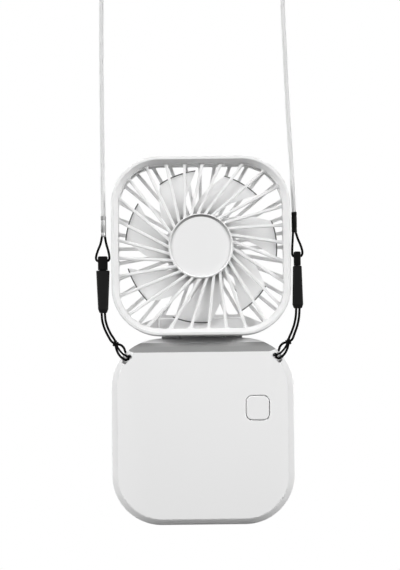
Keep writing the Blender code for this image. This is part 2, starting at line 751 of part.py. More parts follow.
def build_front_cover(parent, white):
    levels = [
        (depth(0), base_outline(BASE_CHAMFER)),
        (depth(BASE_CHAMFER), base_outline(0)),
        (depth(PARTING_DEPTH), base_outline(0)),
    ]
    cover = stack("base_front_cover", levels, parent, white)
    slant = BASE_CHAMFER + WALL * (math.sqrt(2) - 1)
    cavity = [
        (depth(WALL), cavity_outline(slant)),
        (depth(slant), cavity_outline(WALL)),
        (depth(PARTING_DEPTH + OVERRUN), cavity_outline(WALL)),
    ]
    cut(cover, stack("front_cavity_tool", cavity, parent))
    cut(cover, slope_tool("front_slope_tool", parent))
    start = WALL - JOIN
    for k, (x, z) in enumerate(SCREW_PLACES):
        unite(cover, ring(f"front_boss_tool_{k}", (x, depth(start), z), "Y", BORE_RADIUS, BORE_RADIUS + BOSS_WALL,
                          PARTING_DEPTH - start, parent, None, SMALL_SIDES))
    margin = 2 * POST_RADIUS
    for k, x in enumerate((BOARD_LEFT + margin, BOARD_RIGHT - margin)):
        for j, z in enumerate((-POST_TOP_DROP, BOARD_LOW + margin)):
            unite(cover, rod(f"post_tool_{k}{j}", (x, depth(start), z), "Y", POST_RADIUS,
                             BOARD_DEPTH - GAP - start, parent, None, SMALL_SIDES // 2))
    hole = rounded_outline(BUTTON_WIDTH / 2 + GAP, BUTTON_HEIGHT / 2 + GAP, BUTTON_CORNER + GAP, -BUTTON_DROP)
    hole = [(x + BUTTON_X, z) for x, z in hole]
    levels = [(depth(-OVERRUN), hole), (depth(WALL + OVERRUN / 2), hole)]
    cut(cover, stack("button_hole_tool", levels, parent))
    half_w, half_h = USB_WIDTH / 2 + GAP, USB_HEIGHT / 2 + GAP
    hole = [(BASE_BOTTOM - OVERRUN, half_w, half_h), (BASE_BOTTOM + WALL + OVERRUN, half_w, half_h)]
    cut(cover, upright("usb_hole_tool", hole, half_h - JOIN, (0, depth(USB_MIDDLE_DEPTH)), parent))
    for side in (-1, 1):
        for tool in eyelet_tool(side, parent):
            cut(cover, tool)
    return cover


def build_rear_cover(parent, white):
    front = PARTING_DEPTH + GAP
    levels = [
        (depth(front), base_outline(0)),
        (depth(THICKNESS - REAR_EDGE_BREAK), base_outline(0)),
        (depth(THICKNESS), base_outline(REAR_EDGE_BREAK)),
    ]
    cover = stack("base_rear_cover", levels, parent, white)
    cavity = [(depth(front - OVERRUN), cavity_outline(WALL)), (depth(THICKNESS - WALL), cavity_outline(WALL))]
    cut(cover, stack("rear_cavity_tool", cavity, parent))
    cut(cover, slope_tool("rear_slope_tool", parent))
    for k, (x, z) in enumerate(SCREW_PLACES):
        boss = SCREW_HEAD_RADIUS + GAP + BOSS_WALL
        unite(cover, rod(f"rear_boss_tool_{k}", (x, depth(front), z), "Y", boss, THICKNESS - WALL + JOIN - front,
                         parent))
        seat = SCREW_SEAT - GAP
        bore = [
            (0, front - OVERRUN),
            (BORE_RADIUS, front - OVERRUN),
            (BORE_RADIUS, seat),
            (SCREW_HEAD_RADIUS + GAP, seat),
            (SCREW_HEAD_RADIUS + GAP, THICKNESS + OVERRUN),
            (0, THICKNESS + OVERRUN),
        ]
        cut(cover, turned(f"rear_bore_tool_{k}", bore, (x, depth(0), z), "Y", parent, None, SMALL_SIDES))
    saddle = OUTER_KNUCKLE_START + JOIN / 2
    cut(cover, knuckle_relief("base_saddle_tool", -saddle, saddle, parent))
    for sign, name in ((-1, "left"), (1, "right")):
        low, high = sorted((sign * OUTER_KNUCKLE_START, sign * OUTER_KNUCKLE_END))
        unite(cover, knuckle(f"base_knuckle_tool_{name}", low, high, parent))
    reach_x = OUTER_KNUCKLE_END + GAP
    cut(cover, rod("base_pin_tool", (-reach_x, 0, 0), "X", PIN_RADIUS + GAP, 2 * reach_x, parent))
    return cover


def upright(name, levels, radius, place, parent=None, material=None):
    """Closed body through rounded rectangles stacked upward: (height, half width, half depth) each."""
    bm = bmesh.new()
    add_stack(bm, [(z, rounded_outline(half_x, half_y, radius)) for z, half_x, half_y in levels])
    swap = Matrix(((1, 0, 0, place[0]), (0, 0, 1, place[1]), (0, 1, 0, 0), (0, 0, 0, 1)))
    bm.transform(swap)
    return add_object(name, mesh_from(name, bm), parent, material)


def build_inside(parent, silver, board_green, black, steel):
    back = THICKNESS - WALL - GAP
    outline = rounded_outline(BATTERY_WIDTH / 2, BATTERY_HEIGHT / 2, BATTERY_CORNER, BATTERY_MIDDLE)
    cell = [(depth(back - BATTERY_THICKNESS), outline), (depth(back), outline)]
    stack("battery_cell", cell, parent, silver)
    foot = BASE_BOTTOM + WALL + GAP
    outline = [
        (BOARD_LEFT, -BOARD_TOP_DROP),
        (BOARD_RIGHT, -BOARD_TOP_DROP),
        (BOARD_RIGHT, BOARD_LOW),
        (BOARD_TONGUE_HALF, BOARD_LOW),
        (BOARD_TONGUE_HALF, foot),
        (-BOARD_TONGUE_HALF, foot),
        (-BOARD_TONGUE_HALF, BOARD_LOW),
        (BOARD_LEFT, BOARD_LOW),
    ]
    board = [(depth(BOARD_DEPTH), outline), (depth(BOARD_DEPTH + BOARD_THICKNESS), outline)]
    stack("circuit_board", board, parent, board_green)
    half = SWITCH_SIZE / 2
    back = BOARD_DEPTH - GAP
    box("tactile_switch", (BUTTON_X - half, depth(back - SWITCH_HEIGHT), -BUTTON_DROP - half),
        (BUTTON_X + half, depth(back), -BUTTON_DROP + half), parent, black)
    half_w, half_h = USB_WIDTH / 2, USB_HEIGHT / 2
    place = (0, depth(USB_MIDDLE_DEPTH))
    usb = upright("usb_socket", [(USB_END, half_w, half_h), (USB_END + USB_LENGTH, half_w, half_h)],
                  half_h - JOIN, place, parent, steel)
    pocket_top = USB_END + USB_LENGTH - 2 * USB_SHELL
    inner = half_h - USB_SHELL
    pocket = [(USB_END - OVERRUN, half_w - USB_SHELL, inner), (pocket_top, half_w - USB_SHELL, inner)]
    cut(usb, upright("usb_pocket_tool", pocket, inner - JOIN, place, parent))
    half = half_w - inner
    tongue = [(USB_END + USB_SHELL, half, USB_TONGUE / 2), (pocket_top + USB_SHELL, half, USB_TONGUE / 2)]
    unite(usb, upright("usb_tongue_tool", tongue, USB_TONGUE / 3, place, parent))


def build_screws(parent, steel):
    for k, (x, z) in enumerate(SCREW_PLACES):
        profile = [
            (0, 0),
            (SCREW_RADIUS, 0),
            (SCREW_RADIUS, SCREW_LENGTH),
            (SCREW_HEAD_RADIUS, SCREW_LENGTH),
            (SCREW_HEAD_RADIUS, SCREW_LENGTH + SCREW_HEAD),
            (0, SCREW_LENGTH + SCREW_HEAD),
        ]
        turned(f"base_screw_{k + 1}", profile, (x, depth(SCREW_SEAT - SCREW_LENGTH), z), "Y", parent, steel,
               SMALL_SIDES)


def build_button(base, white):
    axis = add_axis("power_button_axis", (BUTTON_X, FRONT_Y, -BUTTON_DROP), base)

    def outline(grow):
        return rounded_outline(BUTTON_WIDTH / 2 + grow, BUTTON_HEIGHT / 2 + grow, BUTTON_CORNER + grow)

    shoulder = WALL + GAP
    levels = [
        (-BUTTON_RISE, outline(-BUTTON_EDGE)),
        (-BUTTON_RISE + BUTTON_EDGE, outline(0)),
        (shoulder, outline(0)),
        (shoulder, outline(BUTTON_FLANGE)),
        (shoulder + BUTTON_FLANGE_THICKNESS, outline(BUTTON_FLANGE)),
    ]
    stack("power_button", levels, axis, white)


def build_pins(parent, steel):
    inner = HEAD_KNUCKLE_HALF - PIN_REACH
    outer = OUTER_KNUCKLE_END - GAP
    rod("hinge_pin_left", (-outer, 0, 0), "X", PIN_RADIUS, outer - inner, parent, steel, SMALL_SIDES)
    rod("hinge_pin_right", (inner, 0, 0), "X", PIN_RADIUS, outer - inner, parent, steel, SMALL_SIDES)


# Cord routes, chosen by hand, in the lanyard's plane. Each side of the neck cord is given as shares:
# sideways of its sleeve's place, and upward of the height from its sleeve to the top of the loop
LEFT_HANG_SHARES = [
    (1.0000, 0.0000),
    (1.0022, 0.1504),
    (1.0043, 0.3206),
    (1.0043, 0.4908),
    (1.0022, 0.6406),
    (0.9913, 0.7563),
    (0.9199, 0.8550),
    (0.7576, 0.9299),
    (0.5087, 0.9823),
    (0.1732, 1.0061),
]
RIGHT_HANG_SHARES = [
    (1.0000, 0.0000),
    (0.9786, 0.1446),
    (0.9516, 0.3160),
    (0.9291, 0.4873),
    (0.9134, 0.6381),
    (0.8999, 0.7478),
    (0.8436, 0.8403),
    (0.7087, 0.9191),
    (0.4837, 0.9774),
    (0.1800, 1.0062),
]
# The thin loops, from the top of their plug
LEFT_LOOP_ROUTE = [
    (-0.0003, 0.0090),
    (-0.0010, 0.0060),
    (-0.0023, 0.0027),
    (-0.0031, 0.0002),
    (-0.0031, -0.0015),
    (-0.0020, -0.0023),
    (0.0000, -0.0023),
    (0.0020, -0.0023),
    (0.0030, -0.0015),
    (0.0031, 0.0002),
    (0.0026, 0.0027),
    (0.0017, 0.0060),
    (0.0011, 0.0090),
]
RIGHT_LOOP_ROUTE = [
    (-0.0018, 0.0088),
    (-0.0020, 0.0058),
    (-0.0022, 0.0028),
    (-0.0023, -0.0001),
    (-0.0022, -0.0016),
    (-0.0014, -0.0023),
    (0.0000, -0.0023),
    (0.0014, -0.0023),
    (0.0023, -0.0015),
    (0.0025, 0.0001),
    (0.0018, 0.0028),
    (0.0005, 0.0060),
    (-0.0005, 0.0088),
]
# The double strand from each buckle to the hitch, as shares of the way sideways and down
STRAND_SHARES = [
    (0.0, 0.0),
    (0.07, 0.26),
    (0.29, 0.53),
    (0.64, 0.79),
    (1.0, 1.0),
]
# The ring through the eyelet: along the corner's tangent, out from its outline, depth from the front
RING_ROUTE = [
    (-0.0009, 0.0062, 0.0032),
    (-0.0019, 0.0042, 0.0026),
    (-0.0027, 0.0020, 0.0016),
    (-0.0029, 0.0002, 0.0008),
    (-0.0028, -0.0014, 0.0001),
    (-0.0022, -0.0025, 0.0003),
    (-0.0015, -0.0028, 0.0015),
    (-0.0011, -0.0028, 0.0031),
    (-0.0007, -0.0024, 0.0048),
    (-0.0003, -0.0011, 0.0053),
    (0.0001, 0.0006, 0.0053),
    (0.0005, 0.0023, 0.0048),
    (0.0006, 0.0043, 0.0039),
    (0.0004, 0.0062, 0.0032),
]
KNOT_OUT = 0.0062
KNOT_ALONG = -0.00025
KNOT_HALF_WIDTH = 0.0019
KNOT_HALF_DEPTH = 0.00125
KNOT_CORD_RADIUS = 0.0005
KNOT_POINTS = 16


def smooth_route(points, step):
    """Evenly spaced points on a smooth curve through the route's own points."""
    points = [Vector(p) for p in points]
    padded = [2 * points[0] - points[1], *points, 2 * points[-1] - points[-2]]
    fine = []
    parts = 12
    for p0, p1, p2, p3 in zip(padded, padded[1:], padded[2:], padded[3:]):
        for k in range(parts):
            t = k / parts
            fine.append(0.5 * (2 * p1 + (p2 - p0) * t + (2 * p0 - 5 * p1 + 4 * p2 - p3) * t ** 2
                               + (3 * p1 - p0 - 3 * p2 + p3) * t ** 3))
    fine.append(points[-1])
    lengths = [0]
    for a, b in zip(fine, fine[1:]):
        lengths.append(lengths[-1] + (b - a).length)
    count = max(4, round(lengths[-1] / step))
    result = []
    at = 0
    for k in range(count + 1):
        want = lengths[-1] * k / count
        while at < len(fine) - 2 and lengths[at + 1] < want:
            at += 1
        share = (want - lengths[at]) / (lengths[at + 1] - lengths[at])
        result.append(fine[at].lerp(fine[at + 1], min(max(share, 0), 1)))
    return result, lengths[-1]


def tube(name, points, radius, parent, material, closed=False):
    curve = bpy.data.curves.new(name, "CURVE")
    curve.dimensions = "3D"
    curve.bevel_depth = radius
    curve.bevel_resolution = 2
    curve.use_fill_caps = True
    spline = curve.splines.new("POLY")
    spline.points.add(len(points) - 1)
    for target, point in zip(spline.points, points):
        target.co = (*point, 1)
    spline.use_cyclic_u = closed
    curve.materials.append(material)
    item = bpy.data.objects.new(name, curve)
    bpy.context.scene.collection.objects.link(item)
    item.parent = parent
    return item


def cord(name, route, radius, parent, material):
    points, length = smooth_route(route, CORD_STEP * 2 * radius)
    print(f"{name}: {length * 1000:.0f} mm long, {len(points)} points")
    return tube(name, points, radius, parent, material)


def strand(middle, shift):
    """One of two parallel strands, this far to the side of their middle line."""
    result = []
    for i, (x, z) in enumerate(middle):
        before = Vector(middle[max(i - 1, 0)])
        after = Vector(middle[min(i + 1, len(middle) - 1)])
        along = (after - before).normalized()
        result.append((x + along.y * shift, depth(LANYARD_DEPTH), z - along.x * shift))
    return result


def hang(end, shares):
    """One side of the neck cord, from its sleeve up."""
    x, z = end
    return [(x * aside, z + up * (LOOP_REST_HEIGHT - z)) for aside, up in shares]


def build_lanyard(white, grey, black):
    """Lanyard group. Its empty stands at the top of the loop, which is the origin."""
    hold = add_axis("lanyard_hold", (0, 0, 0))

    def hung(points, x=0, top=0):
        return [(x + aside, 0, top + up - LOOP_REST_HEIGHT) for aside, up in points]

    left_end = (LEFT_BUCKLE_X + LEFT_CORD_SHIFT, LEFT_PLUG_TOP + LEFT_CORD_RISE)
    right_end = (RIGHT_BUCKLE_X - RIGHT_CORD_SHIFT, RIGHT_PLUG_TOP + RIGHT_CORD_RISE)
    route = hang(left_end, LEFT_HANG_SHARES) + hang(right_end, RIGHT_HANG_SHARES)[::-1]
    cord("lanyard_cord", hung(route), LANYARD_RADIUS, hold, white)
    for name, metal, (x, z) in (("left", grey, left_end), ("right", black, right_end)):
        profile = [
            (0, 0),
            (FERRULE_RADIUS - EDGE_BREAK, 0),
            (FERRULE_RADIUS, EDGE_BREAK),
            (FERRULE_RADIUS, FERRULE_LENGTH - EDGE_BREAK),
            (FERRULE_RADIUS - EDGE_BREAK, FERRULE_LENGTH),
            (0, FERRULE_LENGTH),
        ]
        low = z - GAP - FERRULE_LENGTH - LOOP_REST_HEIGHT
        turned(f"ferrule_{name}", profile, (x, 0, low), "Z", hold, metal, SMALL_SIDES)
    left_loop = hung(LEFT_LOOP_ROUTE, LEFT_BUCKLE_X, LEFT_PLUG_TOP)
    right_loop = hung(RIGHT_LOOP_ROUTE, RIGHT_BUCKLE_X, RIGHT_PLUG_TOP)
    cord("buckle_loop_left", left_loop, THIN_CORD_RADIUS, hold, black)
    cord("buckle_loop_right", right_loop, THIN_CORD_RADIUS, hold, black)
    for name, x, top, edge_on in (
        ("left", LEFT_BUCKLE_X, LEFT_PLUG_TOP, False),
        ("right", RIGHT_BUCKLE_X, RIGHT_PLUG_TOP, True),
    ):
        build_plug(name, x, top - LOOP_REST_HEIGHT, edge_on, hold, black)
    return hold


def turn_sizes(width, thick, edge_on):
    return (thick / 2, width / 2) if edge_on else (width / 2, thick / 2)


def build_plug(name, x, top, edge_on, parent, black):
    bottom = top - PLUG_HEIGHT
    half_x, half_y = turn_sizes(PLUG_WIDTH, PLUG_DEPTH, edge_on)
    levels = [
        (bottom, half_x, half_y),
        (top - EDGE_BREAK, half_x, half_y),
        (top, half_x - EDGE_BREAK, half_y - EDGE_BREAK),
    ]
    radius = EDGE_BREAK + GAP / 2
    plug = upright(f"buckle_plug_{name}", levels, radius, (x, 0), parent, black)
    reach_x = half_x + OVERRUN
    cut(plug, rod(f"plug_eye_tool_{name}", (x - reach_x, 0, top - PLUG_EYE_DROP), "X", PLUG_EYE_RADIUS,
                  2 * reach_x, parent, sides=SMALL_SIDES // 2))
    for sign in (-1, 1):
        shift = sign * (PRONG_SPAN - PRONG_WIDTH) / 2
        size_x, size_y = turn_sizes(PRONG_WIDTH, PRONG_DEPTH, edge_on)
        off_x, off_y = (0, shift) if edge_on else (shift, 0)
        unite(plug, box(f"prong_tool_{name}_{'a' if sign < 0 else 'b'}",
                        (x + off_x - size_x, off_y - size_y, bottom - PRONG_LENGTH),
                        (x + off_x + size_x, off_y + size_y, bottom + JOIN), parent))


def build_socket(name, x, top, edge_on, parent, black):
    bottom = top - SOCKET_LENGTH
    end_x, end_y = turn_sizes(SOCKET_END_WIDTH, SOCKET_END_DEPTH, edge_on)
    top_x, top_y = turn_sizes(SOCKET_TOP_WIDTH, SOCKET_TOP_DEPTH, edge_on)
    nose = 2 * SOCKET_CORNER
    inset = SOCKET_CORNER * SOCKET_NOSE_INSET_SHARE
    levels = [
        (bottom, end_x - SOCKET_CORNER, end_y - SOCKET_CORNER),
        (bottom + SOCKET_CORNER * SOCKET_NOSE_RISE_SHARE, end_x - inset, end_y - inset),
        (bottom + nose, end_x, end_y),
        (top, top_x, top_y),
    ]
    place = (x, depth(LANYARD_DEPTH))
    socket = upright(f"buckle_socket_{name}", levels, SOCKET_CORNER, place, parent, black)
    half_x, half_y = turn_sizes(PRONG_SPAN + 2 * GAP, PRONG_DEPTH + 2 * GAP, edge_on)
    cut(socket, box(f"pocket_tool_{name}", (x - half_x, place[1] - half_y, top - SOCKET_POCKET),
                    (x + half_x, place[1] + half_y, top + OVERRUN), parent))


def build_tether(name, side, start, parent, black):
    """The black cord that hangs from a socket at this place and loops through the eyelet."""
    end = corner_point(side, 0, STRAND_END_OUT)
    span = (end[0] - start[0], end[1] - start[1])
    route = [(start[0] + aside * span[0], start[1] + down * span[1]) for aside, down in STRAND_SHARES]
    ring_points = []
    for along, out, back in RING_ROUTE:
        x, z = corner_point(side, along, out)
        ring_points.append((x, depth(back), z))
    down = strand(route, side * STRAND_SPREAD)
    up = strand(route, -side * STRAND_SPREAD)[::-1]
    cord(f"tether_cord_{name}", down + ring_points + up, TETHER_RADIUS, parent, black)
    points = []
    for k in range(KNOT_POINTS):
        turn = 2 * math.pi * k / KNOT_POINTS
        x, z = corner_point(side, KNOT_ALONG + KNOT_HALF_WIDTH * math.cos(turn), KNOT_OUT)
        points.append((x, depth(LANYARD_DEPTH) + KNOT_HALF_DEPTH * math.sin(turn), z))
    tube(f"tether_knot_{name}", points, KNOT_CORD_RADIUS, parent, black, closed=True)


def build_base(white, steel, silver, board_green, black):
    base = add_axis("base_frame", HINGE_POINT)
    build_front_cover(base, white)
    build_rear_cover(base, white)
    build_inside(base, silver, board_green, black, steel)
    build_screws(base, steel)
    build_button(base, white)
    build_pins(base, steel)
    for name, side, x, plug_top, edge_on in (
        ("left", -1, LEFT_BUCKLE_X, LEFT_PLUG_TOP, False),
        ("right", 1, RIGHT_BUCKLE_X, RIGHT_PLUG_TOP, True),
    ):
        top = plug_top - PLUG_HEIGHT - GAP
        build_socket(name, x, top, edge_on, base, black)
        build_tether(name, side, (x, top - SOCKET_LENGTH - GAP), base, black)
    return base


def main():
    clear_scene()
    white = make_material("white_shell", (0.86, 0.86, 0.86), 0.45)
    blade_white = make_material("blade_white", (0.80, 0.81, 0.82), 0.3)
    black = make_material("black_plastic", (0.015, 0.015, 0.015), 0.45)
    cord_white = make_material("white_cord", (0.85, 0.85, 0.84), 0.8)
    grey = make_material("grey_sleeve", (0.42, 0.42, 0.42), 0.35, 0.6)
    steel = make_material("steel", (0.55, 0.55, 0.56), 0.3, 1.0)
    copper = make_material("copper_windings", (0.45, 0.2, 0.09), 0.4, 0.8)
    bronze = make_material("bronze", (0.5, 0.36, 0.18), 0.4, 1.0)
    magnet_grey = make_material("magnet", (0.12, 0.12, 0.12), 0.5, 0.3)
    board_green = make_material("board_green", (0.02, 0.16, 0.06), 0.5)
    silver = make_material("battery_foil", (0.6, 0.6, 0.62), 0.35, 0.7)
    build_base(white, steel, silver, board_green, black)
    build_head(white, blade_white, steel, copper, board_green, bronze, black, magnet_grey)
    build_lanyard(cord_white, grey, black)


main()
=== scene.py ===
"""Dresses a folding neck fan: a swirl-grille head on a flat battery base, hung from a white neck cord."""

from __future__ import annotations

import logging
import math
from dataclasses import dataclass, field
from enum import Enum

import bmesh
import bpy
from bmesh.types import BMEdge, BMesh, BMFace, BMVert
from bpy.types import ID, Material, NodeSocket, NodeTree, Object
from mathutils import Euler, Matrix, Vector


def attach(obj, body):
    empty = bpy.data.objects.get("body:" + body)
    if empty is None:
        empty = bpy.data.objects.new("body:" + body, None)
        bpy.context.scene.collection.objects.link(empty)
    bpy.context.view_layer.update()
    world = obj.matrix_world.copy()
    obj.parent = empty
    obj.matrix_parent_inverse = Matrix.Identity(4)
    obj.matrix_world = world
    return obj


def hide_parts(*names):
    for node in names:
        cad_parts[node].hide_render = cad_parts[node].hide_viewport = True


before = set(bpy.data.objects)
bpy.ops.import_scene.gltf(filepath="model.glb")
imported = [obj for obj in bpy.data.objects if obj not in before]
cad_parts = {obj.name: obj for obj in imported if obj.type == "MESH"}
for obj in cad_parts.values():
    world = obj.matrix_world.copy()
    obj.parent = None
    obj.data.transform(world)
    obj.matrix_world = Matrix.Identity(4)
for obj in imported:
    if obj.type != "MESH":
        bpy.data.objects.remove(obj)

Pair = tuple[float, float]
Point = tuple[float, float, float]

LOG = logging.getLogger("fan")
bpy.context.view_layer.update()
FRONT = -0.0032  # y of the front plane
HINGE = Vector((0.0, 0.0171, -0.2048))  # middle of the fold hinge's axis
HEAD_Z = HINGE.z + 0.043  # height of the head's centre
GAP = 0.0003  # between pieces that don't touch
OVER = 0.001  # how far a cutting shape runs past a surface
SMOOTH = 14.0  # degrees up to which neighbouring faces shade as one
ALIGNED = 0.99  # cosine from which a face looks the wanted way
MERGE = 0.000002  # points of a turned shape this close are one
FORWARD = (0.0, -1.0, 0.0)
BACKWARD = (0.0, 1.0, 0.0)


class Side(Enum):
    """Which side of the fan a piece belongs to, seen from the front."""

    LEFT = -1
    RIGHT = 1

    @property
    def word(self) -> str:
        """The side as piece names spell it."""
        return self.name.lower()


class Work(Enum):
    """What a Boolean step does."""

    CUT = "DIFFERENCE"
    JOIN = "UNION"


class Shade:
    """A shader socket that takes part in ordinary arithmetic."""

    def __init__(self, tree: NodeTree, socket: NodeSocket) -> None:
        """Wraps one output socket of a node tree."""
        self.tree = tree
        self.socket = socket

    @classmethod
    def node(cls, tree: NodeTree, kind: str, output: int | str = 0, inputs: dict | None = None,
             **settings: str) -> Shade:
        """Adds a node.

        Args:
            tree: the node tree.
            kind: the node's type, after "ShaderNode".
            output: the output that is wanted.
            inputs: socket name or index to a value or a Shade.
            settings: the node's own options.

        Returns:
            That output.
        """
        made = tree.nodes.new("ShaderNode" + kind)
        for name, value in settings.items():
            setattr(made, name, value)
        for name, value in (inputs or {}).items():
            if isinstance(value, Shade):
                tree.links.new(value.socket, made.inputs[name])
            else:
                made.inputs[name].default_value = value
        return cls(tree, made.outputs[output])

    def math(self, operation: str, other: Shade | float = 0.0) -> Shade:
        """One Math node on this value and another."""
        return self.node(self.tree, "Math", 0, {0: self, 1: other}, operation=operation)

    def __add__(self, other: Shade | float) -> Shade:
        """Sum."""
        return self.math("ADD", other)

    def __sub__(self, other: Shade | float) -> Shade:
        """Difference."""
        return self.math("SUBTRACT", other)

    def __rsub__(self, other: float) -> Shade:
        """Difference from a number."""
        return self * -1.0 + other

    def __mul__(self, other: Shade | float) -> Shade:
        """Product."""
        return self.math("MULTIPLY", other)

    def ramp(self, ends: Pair, low: float = 0.0) -> Shade:
        """A straight rise from 0 to 1 between two values, held between low and 1."""
        rise = (self - ends[0]) * (1.0 / (ends[1] - ends[0]))
        return rise.math("MINIMUM", 1.0).math("MAXIMUM", low)

    def parts(self) -> list[Shade]:
        """X, Y and Z of a vector."""
        return [self.node(self.tree, "SeparateXYZ", i, {0: self}) for i in range(3)]


def cover(tree: NodeTree, share: Shade, over: Shade) -> None:
    """Mixes this share of another shader over the material's own."""
    own = Shade(tree, tree.nodes["Principled BSDF"].outputs[0])
    mix = Shade.node(tree, "MixShader", 0, {0: share, 1: own, 2: over})
    tree.links.new(mix.socket, tree.nodes["Material Output"].inputs["Surface"])


def seen(tree: NodeTree) -> Shade:
    """1 for rays from the camera, a mirror or glass, and 0 for all others."""
    camera, glossy, through = (Shade.node(tree, "LightPath", f"Is {kind} Ray")
                               for kind in ("Camera", "Glossy", "Transmission"))
    return camera.math("MAXIMUM", glossy).math("MAXIMUM", through)


@dataclass(frozen=True)
class Finish:
    """Moulded plastic, and what every finish shares: a colour that wanders a little, gloss and a fine surface."""

    name: str
    colour: Point
    roughness: float = 0.4
    metallic: float = 0.0
    drift: float = 0.015
    drift_scale: float = 60.0
    grain: float = 0.05
    grain_scale: float = 4000.0
    grain_depth: float = 0.00002
    specular: float = 0.5
    coat: float = 0.0

    def place(self, tree: NodeTree) -> Shade:
        """The point being shaded, in metres."""
        return Shade.node(tree, "TexCoord", "Object")

    def noise(self, tree: NodeTree, scale: float, detail: float = 3.0, stretch: Point | None = None) -> Shade:
        """Soft noise from 0 to 1.

        Args:
            tree: the material's tree.
            scale: how many cells a metre holds.
            detail: how fine the noise gets.
            stretch: scales per axis, for streaks.

        Returns:
            The noise.
        """
        where = self.place(tree)
        if stretch:
            where = Shade.node(tree, "Mapping", 0, {"Vector": where, "Scale": stretch})
        return Shade.node(tree, "TexNoise", "Fac", {"Vector": where, "Scale": scale, "Detail": detail})

    def from_axis(self, tree: NodeTree, centre: Point) -> tuple[Shade, Shade]:
        """Where the shaded point is, seen from a centre.

        Args:
            tree: the material's tree.
            centre: the centre.

        Returns:
            The offset from it, and the distance from the axis along Y through it.
        """
        back = tuple(-c for c in centre)
        offset = Shade.node(tree, "Mapping", 0, {"Vector": self.place(tree), "Location": back})
        flat = Shade.node(tree, "VectorMath", 0, {0: offset, 1: (1.0, 0.0, 1.0)}, operation="MULTIPLY")
        return offset, Shade.node(tree, "VectorMath", "Value", {0: flat}, operation="LENGTH")

    def feed(self, tree: NodeTree, name: str, value: Shade) -> None:
        """Links a value into one socket of the material's own shader."""
        tree.links.new(value.socket, tree.nodes["Principled BSDF"].inputs[name])

    def tint(self, tree: NodeTree, mask: Shade, dark: float) -> None:
        """Sets the base colour, darkened by this share where the mask is 0."""
        low = (*(c * (1.0 - dark) for c in self.colour), 1.0)
        mixed = Shade.node(tree, "Mix", 2, {"Factor": mask, 6: low, 7: (*self.colour, 1.0)}, data_type="RGBA")
        self.feed(tree, "Base Color", mixed)

    def bump(self, tree: NodeTree, height: Shade, depth: float) -> None:
        """Turns a height into the surface's normal, this deep in metres."""
        made = Shade.node(tree, "Bump", 0, {"Strength": 1.0, "Distance": depth, "Height": height})
        self.feed(tree, "Normal", made)

    def paint(self, tree: NodeTree) -> None:
        """Adds the nodes of moulded plastic.

        Args:
            tree: the material's tree.
        """
        patch = self.noise(tree, self.drift_scale)
        fine = self.noise(tree, self.grain_scale, 2.0)
        self.tint(tree, patch, self.drift)
        self.feed(tree, "Roughness", patch * self.grain + (fine * self.grain + (self.roughness - self.grain)))
        self.bump(tree, fine, self.grain_depth)

    def build(self) -> Material:
        """Makes the material.

        Returns:
            The material.
        """
        material = bpy.data.materials.new(self.name)
        material.use_nodes = True
        inputs = material.node_tree.nodes["Principled BSDF"].inputs
        inputs["Metallic"].default_value = self.metallic
        inputs["Specular IOR Level"].default_value = self.specular
        inputs["Coat Weight"].default_value = self.coat
        self.paint(material.node_tree)
        return material


@dataclass(frozen=True)
class ShadedTop(Finish):
    """Shell plastic with a painted shadow of the head on the sloping top end, given by its edges as (y, z): darker
    towards the slope's front edge, and over its whole depth at the sides.
    """

    front: Pair = (FRONT, HINGE.z - 0.0073)
    rear: Pair = (HINGE.y - 0.004, HINGE.z - 0.0005)
    thick: float = 0.00012  # how near the slope a point counts as on it
    # fade: the share of the slope's depth, from its front edge, over which the painted shadow fades out; sides:
    # distances from the middle over which it grows to cover the whole depth
    fade: Pair = (0.36, 0.66)
    sides: Pair = (0.014, 0.026)
    # share by which the painted shadow darkens the slope
    veil: float = 0.62

    def paint(self, tree: NodeTree) -> None:
        """Adds the plastic's nodes and paints the head's shadow on the slope.

        Args:
            tree: the material's tree.
        """
        super().paint(tree)
        x, y, z = self.place(tree).parts()
        run, climb = self.rear[0] - self.front[0], self.rear[1] - self.front[1]
        share = (y - self.front[0]) * (1.0 / run)
        off = z - (share * climb + self.front[1])
        on_slope = off.math("ABSOLUTE").math("LESS_THAN", self.thick)
        # 1 in the middle, under the head, where the painted shadow keeps to the front part of the slope; 0 at the
        # sides, where it covers all of it
        covered = 1.0 - x.math("ABSOLUTE").ramp(self.sides)
        self.tint(tree, 1.0 - on_slope * (1.0 - share.ramp(self.fade) * covered), self.veil)


@dataclass(frozen=True)
class ShadedRing(Finish):
    """Shell plastic with painted shade on the upper inside slope of the hub's ring, darkest at the top."""

    centre: Point = (0.0, 0.0, HEAD_Z)
    # radii between which shade is painted
    ring: Pair = (0.01385, 0.0149)
    # share by which the painted shade darkens the ring
    veil: float = 0.76

    def paint(self, tree: NodeTree) -> None:
        """Adds the plastic's nodes and paints shade on the ring's upper half.

        Args:
            tree: the material's tree.
        """
        super().paint(tree)
        offset, radius = self.from_axis(tree, self.centre)
        on_ring = radius.math("GREATER_THAN", self.ring[0]) * radius.math("LESS_THAN", self.ring[1])
        up = offset.parts()[2].ramp((0.0, self.ring[1]))
        # painted shade: none from the centre's height down, full at the ring's top
        self.tint(tree, 1.0 - on_ring * up, self.veil)


